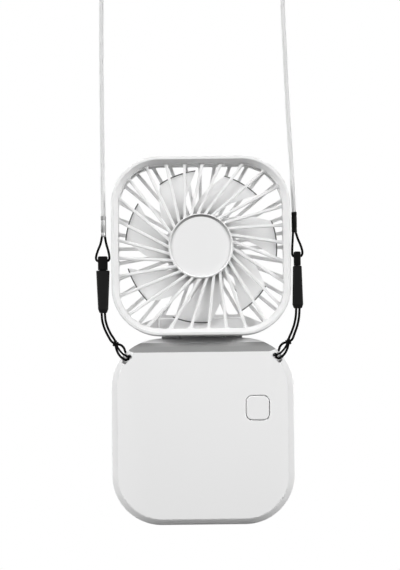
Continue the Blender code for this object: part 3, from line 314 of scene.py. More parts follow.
@dataclass(frozen=True)
class MilkyPlastic(Finish):
    """Thin plastic that lets a little light through, with painted shade at the blades' roots and a painted shadow line
    along their tips.
    """

    glow: float = 0.85
    centre: Point = (0.0, 0.0, HEAD_Z)
    # radii over which the painted shade at the roots fades out
    root: Pair = (0.0145, 0.0195)
    # radius beyond which the tips get a painted shadow line
    tip: float = 0.03595
    # share by which the painted shade darkens; root_light is the least of its mask at the roots, which therefore
    # darken less than the tips
    shade: float = 0.88
    root_light: float = 0.3

    def paint(self, tree: NodeTree) -> None:
        """Adds the plastic's nodes, paints shade at the blades' roots and tips and mixes in light from behind.

        Args:
            tree: the material's tree.
        """
        super().paint(tree)
        _, radius = self.from_axis(tree, self.centre)
        # 0 where shade is painted, past the tip radius and towards the roots; there it also takes away the light let
        # through
        inside = radius.math("LESS_THAN", self.tip) * radius.ramp(self.root, self.root_light)
        self.tint(tree, inside, self.shade)
        through = Shade.node(tree, "BsdfTranslucent", 0, {"Color": (*self.colour, 1.0)})
        cover(tree, inside * self.glow, through)


@dataclass(frozen=True)
class Woven(Finish):
    """Round braid: two families of strands that cross along the cord's own UV map."""

    strands: float = 8.0
    pitch: float = 0.0016
    relief: float = 0.00018
    shade: float = 0.12
    fuzz: float = 0.2

    def paint(self, tree: NodeTree) -> None:
        """Adds the nodes of a braid.

        Args:
            tree: the material's tree.
        """
        across, along, _ = Shade.node(tree, "TexCoord", "UV").parts()
        turn = across * self.strands
        rise = along * (1.0 / self.pitch)
        right = ((turn + rise) * math.tau).math("SINE")
        left = ((turn - rise) * math.tau).math("SINE")
        weave = (right * left) * 0.5 + 0.5
        fuzz = self.noise(tree, self.grain_scale, 4.0)
        height = weave.math("SQRT") * (1.0 - self.fuzz) + fuzz * self.fuzz
        # darker where the weave is low: painted shade in the grooves between strands, with random fuzz tone mixed in
        self.tint(tree, height, self.shade)
        self.feed(tree, "Roughness", fuzz * (2 * self.grain) + (self.roughness - self.grain))
        self.bump(tree, height, self.relief)


@dataclass(frozen=True)
class Brushed(Finish):
    """Drawn or turned metal, with streaks along one axis and painted shade on everything left of a given x."""

    streak: Point = (1.0, 0.04, 1.0)
    fold: Pair = (-1.0, -0.9995)  # x where the painted shade on the left side ends and where the unshaded side starts
    contrast: float = 0.3

    def paint(self, tree: NodeTree) -> None:
        """Adds the metal's nodes.

        Args:
            tree: the material's tree.
        """
        lines = self.noise(tree, self.grain_scale, 3.0, self.streak)
        patch = self.noise(tree, self.drift_scale)
        # 1 right of the painted shade's edge and 0 left of it; the finish's darkening depth serves the painted shade
        # and the streaks alike
        past = self.place(tree).parts()[0].ramp(self.fold)
        self.tint(tree, past * (lines * self.contrast + (1.0 - self.contrast)), self.drift)
        self.feed(tree, "Roughness", lines * self.grain + (patch * self.grain + (self.roughness - self.grain)))
        self.bump(tree, lines, self.grain_depth)


@dataclass(frozen=True)
class Windings(Finish):
    """Enamelled wire, wound round the shaft's direction."""

    wire: float = 0.0004
    shade: float = 0.5
    relief: float = 0.00012

    def paint(self, tree: NodeTree) -> None:
        """Adds the nodes of wound copper.

        Args:
            tree: the material's tree.
        """
        turns = self.place(tree).parts()[1] * (math.tau / self.wire)
        wave = turns.math("SINE") * 0.5 + 0.5
        fine = self.noise(tree, self.grain_scale)
        # darker between the turns: painted shade in the grooves
        self.tint(tree, wave, self.shade)
        self.feed(tree, "Roughness", fine * self.grain + self.roughness)
        self.bump(tree, wave, self.relief)


@dataclass(frozen=True)
class Backdrop(Finish):
    """Pale surface that the camera, mirrors and glass see as plain white."""

    def paint(self, tree: NodeTree) -> None:
        """Sets the surface and the glow that those rays see.

        Args:
            tree: the material's tree.
        """
        inputs = tree.nodes["Principled BSDF"].inputs
        inputs["Base Color"].default_value = (*self.colour, 1.0)
        inputs["Roughness"].default_value = self.roughness
        cover(tree, seen(tree), Shade.node(tree, "Emission", 0, {"Color": (1.0, 1.0, 1.0, 1.0), "Strength": 1.0}))


MATT = {"drift": 0.012, "grain": 0.06, "grain_depth": 0.00001}
DARK = {"drift": 0.3, "drift_scale": 200.0, "grain": 0.1}
WHITE = (0.83, 0.83, 0.83)

STAGE = Backdrop("studio_white", (0.32, 0.32, 0.32), 0.9, specular=0.0)
SHELL = Finish("shell_white", WHITE, 0.6, specular=0.25, **MATT)
GRILLE_SHELL = ShadedRing("grille_white", WHITE, 0.6, specular=0.25, **MATT)
BASE_SHELL = ShadedTop("base_white", WHITE, 0.6, specular=0.25, **MATT)
KEY = Finish("key_white", WHITE, 0.5, drift=0.01, grain=0.05, grain_depth=0.000008, specular=0.25)
# a little paler than the front's white: painted light for the rear ribs and walls that sit in shade behind the front
# grille
REAR = Finish("rear_white", (0.85, 0.85, 0.85), 0.55, specular=0.3, **MATT)
BLADE = MilkyPlastic("blade_white", (0.93, 0.93, 0.93), 0.4, drift=0.03, drift_scale=90.0, specular=0.3)
BLACK = Finish("buckle_black", (0.005, 0.005, 0.005), 0.5, specular=0.1, **DARK)
PLUG_BLACK = Finish("plug_black", (0.002, 0.002, 0.002), 0.5, specular=0.06, **DARK)
WHITE_CORD = Woven("cord_white", (0.78, 0.78, 0.78), 0.8, relief=0.00012, shade=0.08, specular=0.2)
BLACK_CORD = Woven("cord_black", (0.004, 0.004, 0.004), 0.8, strands=5.0, pitch=0.0009, relief=0.00006, shade=0.5,
                   specular=0.05)
# this sleeve's left half is darkened as painted shade; its darkening depth of 0.62 serves that shade and the streak
# tone
SLEEVE = Brushed("sleeve_grey", (0.38, 0.38, 0.38), 0.34, metallic=0.7, drift=0.62, streak=(1.0, 1.0, 0.05),
                 fold=(-0.0465, -0.046))
BLACK_SLEEVE = Finish("sleeve_black", (0.002, 0.002, 0.002), 0.4, drift=0.2, grain=0.08, specular=0.06)
STEEL = Brushed("steel", (0.56, 0.56, 0.57), 0.28, metallic=1.0, drift=0.08)
BRONZE = Brushed("bronze", (0.5, 0.36, 0.18), 0.4, metallic=1.0, drift=0.12)
MAGNET = Finish("magnet_grey", (0.12, 0.12, 0.12), 0.5, metallic=0.3, drift=0.2)
BOARD = Finish("board_green", (0.02, 0.16, 0.06), 0.35, drift=0.3, drift_scale=900.0, coat=0.3)
FOIL = Brushed("cell_foil", (0.6, 0.6, 0.62), 0.35, metallic=0.8, drift=0.06)
COPPER = Windings("windings", (0.5, 0.2, 0.08), 0.3, metallic=0.9)


def placed(name: str, data: ID) -> Object:
    """Adds an object with this data to the scene."""
    made = bpy.data.objects.new(name, data)
    bpy.context.scene.collection.objects.link(made)
    return made


def soften(piece: Object, angle: float) -> None:
    """Shades a mesh smooth, apart from edges sharper than this angle in degrees."""
    piece.data.shade_smooth()
    piece.data.set_sharp_from_angle(angle=math.radians(angle))


def link(name: str, bm: BMesh, smooth: float | None = SMOOTH) -> Object:
    """Makes an object of a bmesh and frees it.

    Args:
        name: the object's name.
        bm: the shape, in world metres.
        smooth: the angle in degrees up to which faces shade as one, or None for a tool.

    Returns:
        The new object, at the origin.
    """
    bmesh.ops.recalc_face_normals(bm, faces=bm.faces)
    mesh = bpy.data.meshes.new(name)
    bm.to_mesh(mesh)
    bm.free()
    made = placed(name, mesh)
    if smooth is not None:
        soften(made, smooth)
    return made


def carve(piece: Object, shape: BMesh, work: Work = Work.CUT) -> None:
    """Adds one exact Boolean to a piece; settle() bakes it.

    Args:
        piece: the piece.
        shape: what is cut out or joined.
        work: which of the two.
    """
    tool = link("tool", shape, None)
    step = piece.modifiers.new(tool.name, "BOOLEAN")
    step.operation = work.value
    step.solver = "EXACT"
    step.object = tool


def settle(piece: Object, smooth: float | None = SMOOTH) -> Object:
    """Bakes a piece's modifiers into its mesh and removes the tools that they used.

    Args:
        piece: the piece.
        smooth: the angle in degrees up to which faces shade as one, or None to leave the shading.

    Returns:
        The same piece.
    """
    tools = [m.object for m in piece.modifiers if m.type == "BOOLEAN"]
    graph = bpy.context.evaluated_depsgraph_get()
    finished = bpy.data.meshes.new_from_object(piece.evaluated_get(graph))
    piece.modifiers.clear()
    piece.data = finished
    for tool in tools:
        bpy.data.objects.remove(tool)
    if smooth is not None:
        soften(piece, smooth)
    return piece


def dress(piece: Object, finish: Material, body: str, slot: str, *nodes: str) -> Object:
    """Finishes a piece and ties it to the frame.

    Args:
        piece: the object.
        finish: its material.
        body: the CAD body that it rides on.
        slot: the record's material slot; not used.
        nodes: the CAD nodes that it stands for.

    Returns:
        The same object.
    """
    piece.data.materials.clear()
    piece.data.materials.append(finish)
    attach(piece, body)
    if nodes:
        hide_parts(*nodes)
    LOG.info("%s on %s", piece.name, body)
    return piece


def bevel(bm: BMesh, geom: list, size: float, segments: int, kind: str = "EDGES", clamp: bool = False) -> list[BMVert]:
    """Rounds, or with one segment chamfers, edges or vertices.

    Args:
        bm: the bmesh.
        geom: its edges or vertices.
        size: how far the rounding reaches.
        segments: its segments.
        kind: EDGES or VERTICES.
        clamp: keeps it from overlapping itself.

    Returns:
        The new vertices.
    """
    return bmesh.ops.bevel(bm, geom=geom, offset=size, segments=segments, profile=0.5, affect=kind, material=-1,
                           clamp_overlap=clamp)["verts"]


def inset(bm: BMesh, face: BMFace, width: float, depth: float = 0.0) -> None:
    """Moves a face's outline inwards by this much, and its middle out by this depth."""
    bmesh.ops.inset_region(bm, faces=[face], thickness=width, depth=depth, use_even_offset=True)


def ring_of(face: BMFace, bm: BMesh) -> list[BMEdge]:
    """Removes a face and gives back the edges round the hole."""
    edges = list(face.edges)
    bmesh.ops.delete(bm, geom=[face], context="FACES_ONLY")
    return edges


def facing(bm: BMesh, way: Point) -> BMFace:
    """The largest flat face that looks this way, once all faces point outwards."""
    bmesh.ops.recalc_face_normals(bm, faces=bm.faces)
    aim = Vector(way)
    return max((f for f in bm.faces if f.normal.dot(aim) > ALIGNED), key=lambda f: f.calc_area())


def round_edges(bm: BMesh, way: Point, size: float, segments: int) -> BMesh:
    """Rounds, or with one segment chamfers, the edges round the face that looks this way."""
    bevel(bm, list(facing(bm, way).edges), size, segments, clamp=True)
    return bm


def hollow(bm: BMesh, front: float, back: float) -> BMesh:
    """Opens a body from front to back.

    Args:
        bm: the body.
        front: how thick a wall stays round its front face.
        back: the same at its rear face.

    Returns:
        The same bmesh.
    """
    loops = []
    for way, wall in ((FORWARD, front), (BACKWARD, back)):
        face = facing(bm, way)
        inset(bm, face, wall)
        loops += ring_of(face, bm)
    bmesh.ops.bridge_loops(bm, edges=loops)
    return bm


def stack(bm: BMesh, faces: list[BMFace]) -> BMesh:
    """Joins outlines in order into one closed body.

    Args:
        bm: the bmesh that holds them.
        faces: the outlines.

    Returns:
        The same bmesh.
    """
    edges = [list(face.edges) for face in faces]
    bmesh.ops.delete(bm, geom=faces[1:-1], context="FACES_ONLY")
    for low, high in zip(edges, edges[1:]):
        bmesh.ops.bridge_loops(bm, edges=low + high)
    return bm


def rounded_face(bm: BMesh, size: Pair, corner: float, steps: int, place: Matrix) -> BMFace:
    """Adds a flat rectangle with round corners.

    Args:
        bm: the bmesh that takes it.
        size: its width and height.
        corner: radius of its corners.
        steps: segments in each corner.
        place: moves it from the XY plane to where it goes.

    Returns:
        The face.
    """
    made = bmesh.ops.create_grid(bm, x_segments=1, y_segments=1, size=0.5)["verts"]
    bmesh.ops.transform(bm, matrix=Matrix.Diagonal((*size, 1, 1)), verts=made)
    if corner:
        made = bevel(bm, made, corner, steps, "VERTICES")
    bmesh.ops.transform(bm, matrix=place, verts=made)
    return next(face for face in made[0].link_faces if len(face.verts) == len(made))


def tower(levels: list[Point], corner: float, place: Pair, steps: int = 5) -> BMesh:
    """A closed upright body through rounded rectangles.

    Args:
        levels: (height, half width, half depth) of each, from the lowest up.
        corner: radius of their corners.
        place: x and y of their centre.
        steps: segments in each corner.

    Returns:
        The body.
    """
    bm = bmesh.new()
    return stack(bm, [rounded_face(bm, (2 * half_x, 2 * half_y), corner, steps, Matrix.Translation((*place, height)))
                      for height, half_x, half_y in levels])


@dataclass(frozen=True)
class Outline:
    """A rectangle with round corners that faces the viewer."""

    width: float
    height: float
    corner: float
    z: float
    x: float = 0.0

    def inset(self, by: float) -> Outline:
        """The same outline moved inwards."""
        return Outline(self.width - 2 * by, self.height - 2 * by, max(self.corner - by, 0.0001), self.z, self.x)

    def face(self, bm: BMesh, depth: float, steps: int) -> BMFace:
        """The outline as a face, this far behind the front plane, with these segments in each corner."""
        place = Matrix.Translation((self.x, FRONT + depth, self.z)) @ Matrix.Rotation(math.pi / 2, 4, "X")
        return rounded_face(bm, (self.width, self.height), self.corner, steps, place)


def slab(outline: Outline, front: float, back: float, steps: int = 24) -> BMesh:
    """A flat body with this outline.

    Args:
        outline: its outline.
        front: depth of its front face.
        back: depth of its rear face.
        steps: segments in each round corner.

    Returns:
        The body.
    """
    bm = bmesh.new()
    face = outline.face(bm, front, steps)
    grown = bmesh.ops.extrude_face_region(bm, geom=[face], use_keep_orig=True)["geom"]
    bmesh.ops.translate(bm, verts=[g for g in grown if isinstance(g, BMVert)], vec=(0, back - front, 0))
    return bm


def block(low: Point, high: Point, edge: float = 0.0) -> BMesh:
    """A box.

    Args:
        low: its lowest corner.
        high: its highest corner.
        edge: radius of its edges.

    Returns:
        The box.
    """
    bm = bmesh.new()
    size = [b - a for a, b in zip(low, high)]
    middle = [(a + b) / 2 for a, b in zip(low, high)]
    bmesh.ops.create_cube(bm, size=1, matrix=Matrix.Translation(middle) @ Matrix.Diagonal((*size, 1)))
    if edge:
        bevel(bm, list(bm.edges), edge, 2, clamp=True)
    return bm


def spun(profile: list[Pair], place: Point | Vector, axis: str = "Y", steps: int = 64,
         bm: BMesh | None = None) -> BMesh:
    """A turned shape.

    Args:
        profile: (radius, distance along the axis) pairs. One that doesn't end on the axis closes on itself.
        place: the axis's start.
        axis: X, Y or Z.
        steps: segments round the axis.
        bm: the bmesh that takes it, or None for a new one.

    Returns:
        The bmesh.
    """
    bm = bm or bmesh.new()
    ends = {"X": Vector((1, 0, 0)), "Y": Vector((0, 1, 0)), "Z": Vector((0, 0, 1))}
    along = ends[axis]
    out = ends["Z"] if axis != "Z" else ends["X"]
    centre = Vector(place)
    before = set(bm.verts)
    verts = [bm.verts.new(centre + out * radius + along * far) for radius, far in profile]
    pairs = list(zip(verts, verts[1:]))
    if profile[0][0] > 0:
        pairs.append((verts[-1], verts[0]))
    edges = [bm.edges.new(pair) for pair in pairs]
    bmesh.ops.spin(bm, geom=verts + edges, cent=centre, axis=along, angle=math.tau, steps=steps, use_merge=True)
    bmesh.ops.remove_doubles(bm, verts=[v for v in bm.verts if v not in before], dist=MERGE)
    return bm


def rod(radius: float, length: float, edge: float = 0.0) -> list[Pair]:
    """Profile of a round bar, with this chamfer at both ends."""
    ends = [(radius, 0.0), (radius, length)]
    soft = [(radius - edge, 0.0), (radius, edge), (radius, length - edge), (radius - edge, length)]
    return [(0.0, 0.0), *(soft if edge else ends), (0.0, length)]


def hinge_bar(radius: float, start: float, end: float, edge: float = 0.0, steps: int = 40) -> BMesh:
    """A round bar on the hinge's axis, between these distances to the right of the middle."""
    return spun(rod(radius, end - start, edge), (start, HINGE.y, HINGE.z), "X", steps)


def both_sides(start: float, end: float) -> tuple[Pair, Pair]:
    """A stretch of the hinge's axis to the left of the middle, and the same to the right."""
    return (-end, -start), (start, end)


def smooth_line(points: list[Vector], step: float) -> list[Vector]:
    """Evenly spaced points on a smooth curve through these.

    Args:
        points: the route.
        step: about how far apart the result's points are.

    Returns:
        The points.
    """
    route = [points[0] * 2 - points[1], *points, points[-1] * 2 - points[-2]]
    fine = []
    parts = 16
    for p0, p1, p2, p3 in zip(route, route[1:], route[2:], route[3:]):
        for k in range(parts):
            t = k / parts
            fine.append(0.5 * (2 * p1 + (p2 - p0) * t + (2 * p0 - 5 * p1 + 4 * p2 - p3) * t ** 2
                               + (3 * p1 - p0 - 3 * p2 + p3) * t ** 3))
    fine.append(points[-1])
    total = length_of(fine)
    wanted = max(8, round(total / step))
    result = [fine[0]]
    walked, i = 0.0, 0
    for k in range(1, wanted + 1):
        goal = total * k / wanted
        while i < len(fine) - 2 and walked + (fine[i + 1] - fine[i]).length < goal:
            walked += (fine[i + 1] - fine[i]).length
            i += 1
        span = (fine[i + 1] - fine[i]).length
        result.append(fine[i].lerp(fine[i + 1], min((goal - walked) / span, 1.0)))
    return result


def length_of(line: list[Vector]) -> float:
    """Length of a line of points."""
    return sum((b - a).length for a, b in zip(line, line[1:]))


def flows_of(line: list[Vector]) -> list[Vector]:
    """The direction of a line at each of its points."""
    return [(b - a).normalized() for a, b in zip([line[0], *line], [*line[1:], line[-1]])]


def sweep(name: str, line: list[Vector], radius: float, sides: int = 12) -> Object:
    """A round tube along a line, with a UV map that counts turns across and metres along.

    Args:
        name: the object's name.
        line: its centre line.
        radius: the tube's radius.
        sides: faces round it.

    Returns:
        The tube.
    """
    bm = bmesh.new()
    flows = flows_of(line)
    side = flows[0].orthogonal().normalized()
    rings = []
    for point, flow in zip(line, flows):
        side = (side - flow * side.dot(flow)).normalized()
        turn = Matrix((side, flow.cross(side), flow)).transposed().to_4x4()
        made = bmesh.ops.create_circle(bm, segments=sides, radius=radius, matrix=Matrix.Translation(point) @ turn)
        rings.append(made["verts"])
    layer = bm.loops.layers.uv.new("along")
    far = [0.0]
    for a, b in zip(line, line[1:]):
        far.append(far[-1] + (b - a).length)
    for i, (low, high) in enumerate(zip(rings, rings[1:])):
        for k in range(sides):
            j = (k + 1) % sides
            face = bm.faces.new((low[k], low[j], high[j], high[k]))
            spots = ((k, i), (k + 1, i), (k + 1, i + 1), (k, i + 1))
            for loop, (across, along) in zip(face.loops, spots):
                loop[layer].uv = (across / sides, far[along])
    bm.faces.new(rings[0])
    bm.faces.new(rings[-1])
    return link(name, bm, smooth=60.0)


def tongue(outline: Outline, wall: float, parting: float, depth: float) -> BMesh:
    """The thin lip that fills a seam behind its outer groove.

    Args:
        outline: the shell's outline.
        wall: the shell's wall.
        parting: depth at which the front shell ends.
        depth: how far the lip reaches into the front shell.

    Returns:
        The lip.
    """
    groove, thick, filled = 0.45 * wall, 0.55 * wall + 0.0001, 0.85 * GAP
    return hollow(slab(outline.inset(groove), parting - depth, parting + filled), thick, thick)


@dataclass(frozen=True)
class Grille:
    """A flat plate of straight ribs that run from a hub to a border, with softened front edges."""

    outline: Outline
    hub: float
    count: int
    rib: float
    border: float
    front: float
    back: float
    offset: float = 0.0
    phase: float = 0.0
    rounding: float = 0.0014
    soft: float = 0.00035
    bar: Pair = (0.0, 0.0)  # half width and height of a solid part at the foot
    shortest: float = 0.004
    soft_steps: int = 2
    corner_steps: int = 20
    halvings: int = 34
    most_round: float = 0.42  # share of an opening's outer side that one rounding may take

    def open_at(self, x: float, z: float) -> bool:
        """Whether an opening may reach this point, seen from the plate's centre.

        Args:
            x: to the right of the centre.
            z: above the centre.

        Returns:
            True inside the border and above the solid bar.
        """
        half_x = self.outline.width / 2 - self.border
        half_z = self.outline.height / 2 - self.border
        corner = self.outline.corner - self.border
        dx = max(abs(x) - (half_x - corner), 0.0)
        dz = max(abs(z) - (half_z - corner), 0.0)
        barred = abs(x) < self.bar[0] and z + self.outline.height / 2 < self.bar[1]
        return math.hypot(dx, dz) <= corner and abs(x) <= half_x and abs(z) <= half_z and not barred

    def reach(self, angle: float, side: float) -> float:
        """How far along a rib's edge an opening runs, by halving.

        Args:
            angle: the rib's direction.
            side: how far beside the centre its edge passes.

        Returns:
            The distance.
        """
        near, far = 0.0, self.outline.width
        for _ in range(self.halvings):
            middle = (near + far) / 2
            x = middle * math.cos(angle) - side * math.sin(angle)
            z = middle * math.sin(angle) + side * math.cos(angle)
            near, far = (middle, far) if self.open_at(x, z) else (near, middle)
        return near

    def opening(self, bm: BMesh, k: int, grow: float, depth: float) -> list[BMEdge]:
        """Adds the outline of one opening.

        Args:
            bm: the bmesh that takes it.
            k: which opening.
            grow: how much wider than nominal it is on every side.
            depth: its depth.

        Returns:
            Its edges; none where it would be shorter than the shortest.
        """
        corners = []
        for turn, way in ((k, 1), (k + 1, -1)):
            nominal = self.offset + way * self.rib / 2
            side = nominal - way * grow
            angle = self.phase + math.tau * turn / self.count
            start = math.sqrt((self.hub - grow) ** 2 - side ** 2)
            out = self.reach(angle, nominal) + grow
            if out - start < self.shortest:
                return []
            corners.append([Vector((s * math.cos(angle) - side * math.sin(angle), 0.0,
                                    s * math.sin(angle) + side * math.cos(angle))) for s in (start, out)])
        (a, b), (d, c) = corners
        centre = Vector((self.outline.x, FRONT + depth, self.outline.z))
        verts = [bm.verts.new(centre + p) for p in (a, b, c, d)]
        bm.faces.new(verts)
        bevel(bm, verts[1:3], min(self.rounding + grow, (b - c).length * self.most_round), 5, "VERTICES")
        return ring_of(verts[0].link_faces[0], bm)

    def levels(self) -> list[Pair]:
        """(grow, depth) of each outline of an opening, from the softened front edge to the back."""
        curve = [math.pi / 2 * i / self.soft_steps for i in range(self.soft_steps + 1)]
        soft = [(self.soft * (1 - math.sin(t)), self.front + self.soft * (1 - math.cos(t))) for t in curve]
        return [*soft, (0.0, self.back)]

    def build(self, boss: list[Pair] | None = None) -> BMesh:
        """Builds the plate.

        Args:
            boss: (radius, depth) pairs of a turned boss over the hub.

        Returns:
            The bmesh.
        """
        bm = bmesh.new()
        front, back = (ring_of(self.outline.face(bm, depth, self.corner_steps), bm)
                       for depth in (self.front, self.back))
        bmesh.ops.bridge_loops(bm, edges=front + back)
        for k in range(self.count):
            loops = [self.opening(bm, k, grow, depth) for grow, depth in self.levels()]
            if not loops[0]:
                continue
            for low, high in zip(loops, loops[1:]):
                bmesh.ops.bridge_loops(bm, edges=low + high)
            front += loops[0]
            back += loops[-1]
        if boss:
            spun(boss, (self.outline.x, FRONT, self.outline.z), bm=bm)
        for edges in (front, back):
            bmesh.ops.triangle_fill(bm, use_beauty=True, use_dissolve=False, edges=edges)
        return bm


@dataclass
class Head:
    """The square head: two frames, two grilles and the cap in the hub."""

    outline: Outline = Outline(0.085, 0.085, 0.023, HEAD_Z)
    wall: float = 0.0018
    edge: float = 0.0007
    rim_flat: float = 0.0014
    rim_slope: float = 0.0018
    rim_depth: float = 0.0024
    rim_back: float = 0.0029
    lip: float = 0.0005  # how far the seam's lip reaches forwards
    parting: float = 0.011
    thickness: float = 0.020
    rear_edge: float = 0.0012
    grille_back: float = 0.0052
    hub: float = 0.0155
    hub_ring: float = 0.0012
    hub_slope: float = 0.00065
    hub_edge: float = 0.00035
    hub_front: float = 0.0024
    hub_floor: float = 0.004
    cap_radius: float = 0.01415
    cap_front: float = 0.0034
    cap_back: float = 0.0037
    cap_slope: float = 0.0005
    cap_lip: float = 0.0003
    cap_edge: float = 0.0001
    cap_dip: float = 0.00003
    rear_plate: float = 0.0178
    grille_foot: float = 0.0026
    knuckle: float = 0.003
    knuckle_half: float = 0.01004
    relief: float = 0.0034  # room for the base's knuckles
    relief_end: float = 0.0197
    overlap: float = 0.0002
    pin_hole: float = 0.0012
    pin_reach: float = 0.0068
    block_half: float = 0.0204
    block_low: float = 0.0014
    block_top: float = 0.009
    block_depth: float = 0.0052
    block_edge: float = 0.0004
    room_depth: float = 0.004
    strut_half: float = 0.003
    strut_top: float = 0.0157

    def front_frame(self) -> Object:
        """Wall and sloping rim of the front half.

        Returns:
            The piece.
        """
        bm = round_edges(slab(self.outline, 0.0, self.parting), FORWARD, self.edge, 3)
        face = facing(bm, FORWARD)
        inset(bm, face, self.rim_flat - self.edge)
        inset(bm, face, self.rim_slope, -self.rim_depth)
        front = ring_of(face, bm)
        face = facing(bm, BACKWARD)
        inset(bm, face, self.wall)
        grown = bmesh.ops.extrude_face_region(bm, geom=[face])["geom"]
        bmesh.ops.translate(bm, verts=[g for g in grown if isinstance(g, BMVert)],
                            vec=(0, self.rim_back - self.parting, 0))
        floor = next(g for g in grown if isinstance(g, BMFace))
        ring_of(face, bm)
        inset(bm, floor, self.rim_flat + self.rim_slope - self.wall)
        bmesh.ops.bridge_loops(bm, edges=front + ring_of(floor, bm))
        piece = link("head_rim", bm)
        carve(piece, tongue(self.outline, self.wall, self.parting, self.lip), Work.JOIN)
        return settle(piece)

    def front_grille(self) -> Object:
        """Swirl grille with the hub's raised ring.

        Returns:
            The piece.
        """
        front = self.rim_back + GAP
        edge = self.wall + GAP
        plate = Grille(self.outline.inset(edge), hub=self.hub, count=29, rib=0.0014, front=front,
                       border=self.rim_flat + self.rim_slope - edge, back=self.grille_back, offset=0.0075,
                       phase=math.radians(3.0))
        inner = self.hub - self.hub_ring
        outer = self.hub - self.hub_edge
        return link("head_grille", plate.build([
            (outer, front),
            (outer, self.hub_front + GAP),
            (self.hub - GAP, self.hub_front),
            (inner + self.hub_slope, self.hub_front),
            (inner, self.hub_floor - GAP),
            (inner, self.hub_floor),
            (0.0, self.hub_floor),
        ]))

    def cap(self) -> Object:
        """Dished disc in the hub's ring.

        Returns:
            The piece.
        """
        slope = self.cap_radius - self.cap_slope
        rim = self.cap_front + self.cap_edge
        profile = [
            (0.0, self.cap_front),
            (slope, self.cap_front),
            (slope + self.cap_edge, self.cap_front - self.cap_dip),
            (self.cap_radius - self.cap_lip, rim),
            (self.cap_radius - self.cap_edge, rim),
            (self.cap_radius, rim + self.cap_edge),
            (self.cap_radius, self.cap_back),
            (0.0, self.cap_back),
        ]
        return link("hub_disc", spun(profile, (0.0, FRONT, self.outline.z), steps=96), smooth=25.0)

    def rear_frame(self) -> Object:
        """Wall of the rear half with the hinge block and knuckle.

        Returns:
            The piece.
        """
        bm = round_edges(slab(self.outline, self.parting + GAP, self.thickness), BACKWARD, self.rear_edge, 4)
        piece = link("head_rear_wall", hollow(bm, self.wall, self.wall - self.rear_edge))
        rear = FRONT + self.thickness
        carve(piece, block((-self.block_half, rear - self.block_depth, HINGE.z + self.block_low),
                           (self.block_half, rear - self.block_edge, HINGE.z + self.block_top), self.block_edge),
              Work.JOIN)
        for low, high in both_sides(self.knuckle_half - self.overlap, self.relief_end):
            carve(piece, hinge_bar(self.relief, low, high, steps=32))
        carve(piece, hinge_bar(self.knuckle, -self.knuckle_half, self.knuckle_half, GAP), Work.JOIN)
        for low, high in both_sides(self.knuckle_half - self.pin_reach, self.knuckle_half + 2 * OVER):
            carve(piece, hinge_bar(self.pin_hole, low, high, steps=24))
        return settle(piece)

    def rear_grille(self) -> Object:
        """Intake grille of nearly radial ribs, notched over the hinge block.

        Returns:
            The piece.
        """
        bar = (self.block_half + self.wall, self.block_top + self.wall - self.grille_foot)
        plate = Grille(self.outline.inset(self.wall + GAP), hub=0.0175, count=36, rib=0.0016, border=0.0009,
                       front=self.rear_plate, back=self.thickness, rounding=0.0008, soft=0.0003, bar=bar)
        piece = link("rear_grille", plate.build())
        rear = FRONT + self.thickness
        top = HINGE.z + self.block_top
        reach = self.block_half + GAP
        carve(piece, block((-reach, rear - self.room_depth, HINGE.z - OVER), (reach, rear + 2 * OVER, top + GAP)))
        carve(piece, block((-self.strut_half, FRONT + self.rear_plate + self.overlap, top + OVER),
                           (self.strut_half, rear - self.overlap, self.outline.z - self.strut_top)), Work.JOIN)
        return settle(piece)

    def build(self, shell: Material, grille: Material, rear: Material) -> None:
        """Builds and dresses every piece of the head.

        Args:
            shell: the white of the front.
            grille: the front grille's white.
            rear: the white of the rear half.
        """
        dress(self.front_frame(), shell, "head", "white_shell", "head_front_frame")
        dress(self.front_grille(), grille, "head", "white_shell", "head_front_grille")
        dress(self.cap(), grille, "head", "white_shell", "hub_cap")
        dress(self.rear_frame(), rear, "head", "white_shell", "head_rear_frame")
        dress(self.rear_grille(), rear, "head", "white_shell", "head_rear_grille")


